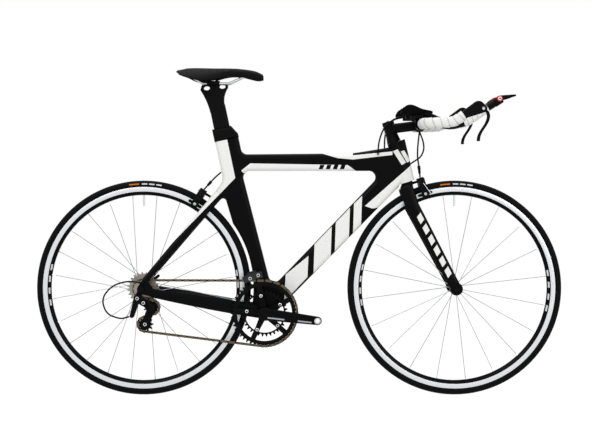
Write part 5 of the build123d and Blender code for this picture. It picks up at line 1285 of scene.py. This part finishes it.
class BIKE_OT_brakes(bpy.types.Operator):
    """Finish the calipers and their cables"""

    bl_idname = "bike.brakes"
    bl_label = "Brakes and cables"

    def loops(self):
        """The cables between frame and bars, as a merged copy."""
        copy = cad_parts["steering_cables"].data.copy()
        shape = bmesh.new()
        shape.from_mesh(copy)
        bmesh.ops.remove_doubles(shape, verts=shape.verts, dist=1e-5)
        shape.to_mesh(copy)
        shape.free()
        made = placed("steering_cable_loops", copy)
        copy.materials.clear()
        copy.materials.append(surface("cable_sheath"))
        copy.shade_smooth()
        copy.set_sharp_from_angle(angle=math.radians(50.0))
        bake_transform(made)
        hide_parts("steering_cables")

    def barrel(self, name, ends, body):
        """A knurled adjuster with a wider collar."""
        collar_length = (Vector(ends[1]) - Vector(ends[0])).length * COLLAR_SHARE

        def knurled(along, turn):
            radius = COLLAR_RADIUS if along < collar_length else BARREL_RADIUS
            return radius + KNURL_DEPTH * math.cos(turn * KNURL_COUNT)

        mesh = tube(name, straight(ends, 16), knurled, BARREL_SIDES)
        piece(name, mesh, body, surface("anodised_black"))

    def execute(self, context):
        self.loops()
        for wheel, axle, degrees, turn, body in (
            ("front", FRONT_AXLE, FRONT_CALIPER_ANGLE, 1, "steering"),
            ("rear", REAR_AXLE, REAR_CALIPER_ANGLE, -1, "frame"),
        ):
            angle = math.radians(degrees)
            out = point((math.cos(angle), math.sin(angle)))
            along = point((out.z, -out.x)) * turn
            places = [(point(axle) + out * PIVOT_PLACE[0] + along * PIVOT_PLACE[1], along)]
            for hand in (1, -1):
                across = Vector((0, hand, 0))
                places.append((point(axle) + out * SHOE_PLACE[0] + across * SHOE_PLACE[1], across))
            head = socket_bolt("bolt", *CALIPER_BOLT)
            fixings(wheel + "_caliper_bolts", places, head, "plated_bolt_steel", body)
            finish(surface("anodised_black"), wheel + "_brake")
        self.barrel("front_barrel", FRONT_BARREL, "steering")
        self.barrel("rear_barrel", REAR_BARREL, "frame")
        wire = tube("front_brake_wire", straight(WIRE_ENDS, 8), lambda along, turn: WIRE_RADIUS, 8)
        piece("front_brake_wire", wire, "steering", surface("plated_bolt_steel"))
        finish(surface("cable_sheath"), "front_brake_cable", "frame_cables")
        return {"FINISHED"}


class BIKE_OT_stage(bpy.types.Operator):
    """Set up the pale floor, soft studio light and the camera"""

    bl_idname = "bike.stage"
    bl_label = "Stage"

    def seen(self, tree):
        """1 on rays from the camera, from a glossy surface or through glass."""
        rays = node(tree, "ShaderNodeLightPath", out=None).outputs
        either = node(tree, MATH, rays["Is Camera Ray"], rays["Is Glossy Ray"], operation="MAXIMUM")
        return node(tree, MATH, either, rays["Is Transmission Ray"], operation="MAXIMUM")

    def floor(self):
        """Seamless paper: a dull white that keeps a faint shadow under the wheels."""
        corners = [(x * FLOOR_HALF, y * FLOOR_HALF, GROUND) for x, y in ((-1, -1), (1, -1), (1, 1), (-1, 1))]
        mesh = mesh_of("floor", corners, [(0, 1, 2, 3)])
        paper = bpy.data.materials.new("white_paper_floor")
        paper.use_nodes = True
        tree = paper.node_tree
        tree.nodes.remove(tree.nodes["Principled BSDF"])
        dull = node(tree, "ShaderNodeBsdfDiffuse", named={"Color": linear("#F4F4F4")})
        glow = node(tree, "ShaderNodeEmission", linear("#FFFFFF"), FLOOR_GLOW)
        share = node(tree, MATH, self.seen(tree), FLOOR_GLOW_SHARE, operation="MULTIPLY")
        both = node(tree, "ShaderNodeMixShader", share, dull, glow)
        tree.links.new(both, tree.nodes["Material Output"].inputs[0])
        mesh.materials.append(paper)
        placed("floor", mesh)

    def sky(self, scene):
        """White wherever it is seen, and dimmer as light on the bike."""
        world = bpy.data.worlds.new("white_studio")
        scene.world = world
        world.use_nodes = True
        tree = world.node_tree
        light = {3: WORLD_LIGHT, 4: 1.0}
        strength = node(tree, "ShaderNodeMapRange", self.seen(tree), named=light)
        back = tree.nodes["Background"].inputs
        back[0].default_value = linear("#FFFFFF")
        tree.links.new(strength, back[1])

    def lamp(self, name, place, target, size, watts):
        """A soft box aimed at a point."""
        data = bpy.data.lights.new(name, "AREA")
        data.shape = "RECTANGLE"
        data.size, data.size_y = size
        data.energy = watts
        made = placed(name, data)
        made.location = place
        made.rotation_euler = (target - place).to_track_quat("-Z", "Y").to_euler()

    def execute(self, context):
        scene = context.scene
        self.floor()
        self.sky(scene)
        middle = Vector(((FRONT_AXLE[0] + REAR_AXLE[0]) / 2, 0, 0))
        target = middle + Vector((0, 0, LAMP_AIM))
        for name, place, size, watts in LAMPS:
            self.lamp(name, middle + Vector(place), target, size, watts)
        data = bpy.data.cameras.new("camera")
        data.sensor_width = CAMERA_SENSOR
        data.lens = CAMERA_LENS
        data.shift_y = CAMERA_SHIFT
        made = placed("camera", data)
        made.location = middle + Vector(CAMERA_PLACE)
        made.rotation_euler = (math.radians(90.0), 0.0, 0.0)
        scene.camera = made
        scene.view_settings.view_transform = "Standard"
        return {"FINISHED"}


class BIKE_PT_panel(bpy.types.Panel):
    """Lists the pieces in the sidebar"""

    bl_label = "Triathlon bike"
    bl_idname = "BIKE_PT_panel"
    bl_space_type = "VIEW_3D"
    bl_region_type = "UI"
    bl_category = "Bike"

    def draw(self, context):
        for group in (context.scene.bike_finish, context.scene.bike_sizes):
            for name in group.bl_rna.properties.keys():
                if name not in ("name", "rna_type"):
                    self.layout.prop(group, name)
        for operator in OPERATORS:
            self.layout.operator(operator.bl_idname)


OPERATORS = (
    BIKE_OT_frame,
    BIKE_OT_wheels,
    BIKE_OT_drivetrain,
    BIKE_OT_cockpit,
    BIKE_OT_seat,
    BIKE_OT_brakes,
    BIKE_OT_stage,
)
CLASSES = (BikeFinish, BikeSizes) + OPERATORS + (BIKE_PT_panel,)


def register():
    for one in CLASSES:
        bpy.utils.register_class(one)
    bpy.types.Scene.bike_finish = PointerProperty(type=BikeFinish)
    bpy.types.Scene.bike_sizes = PointerProperty(type=BikeSizes)


def unregister():
    del bpy.types.Scene.bike_sizes
    del bpy.types.Scene.bike_finish
    for one in reversed(CLASSES):
        bpy.utils.unregister_class(one)


def main():
    register()
    for operator in OPERATORS:
        group, name = operator.bl_idname.split(".")
        getattr(getattr(bpy.ops, group), name)()


if __name__ == "__main__":
    main()
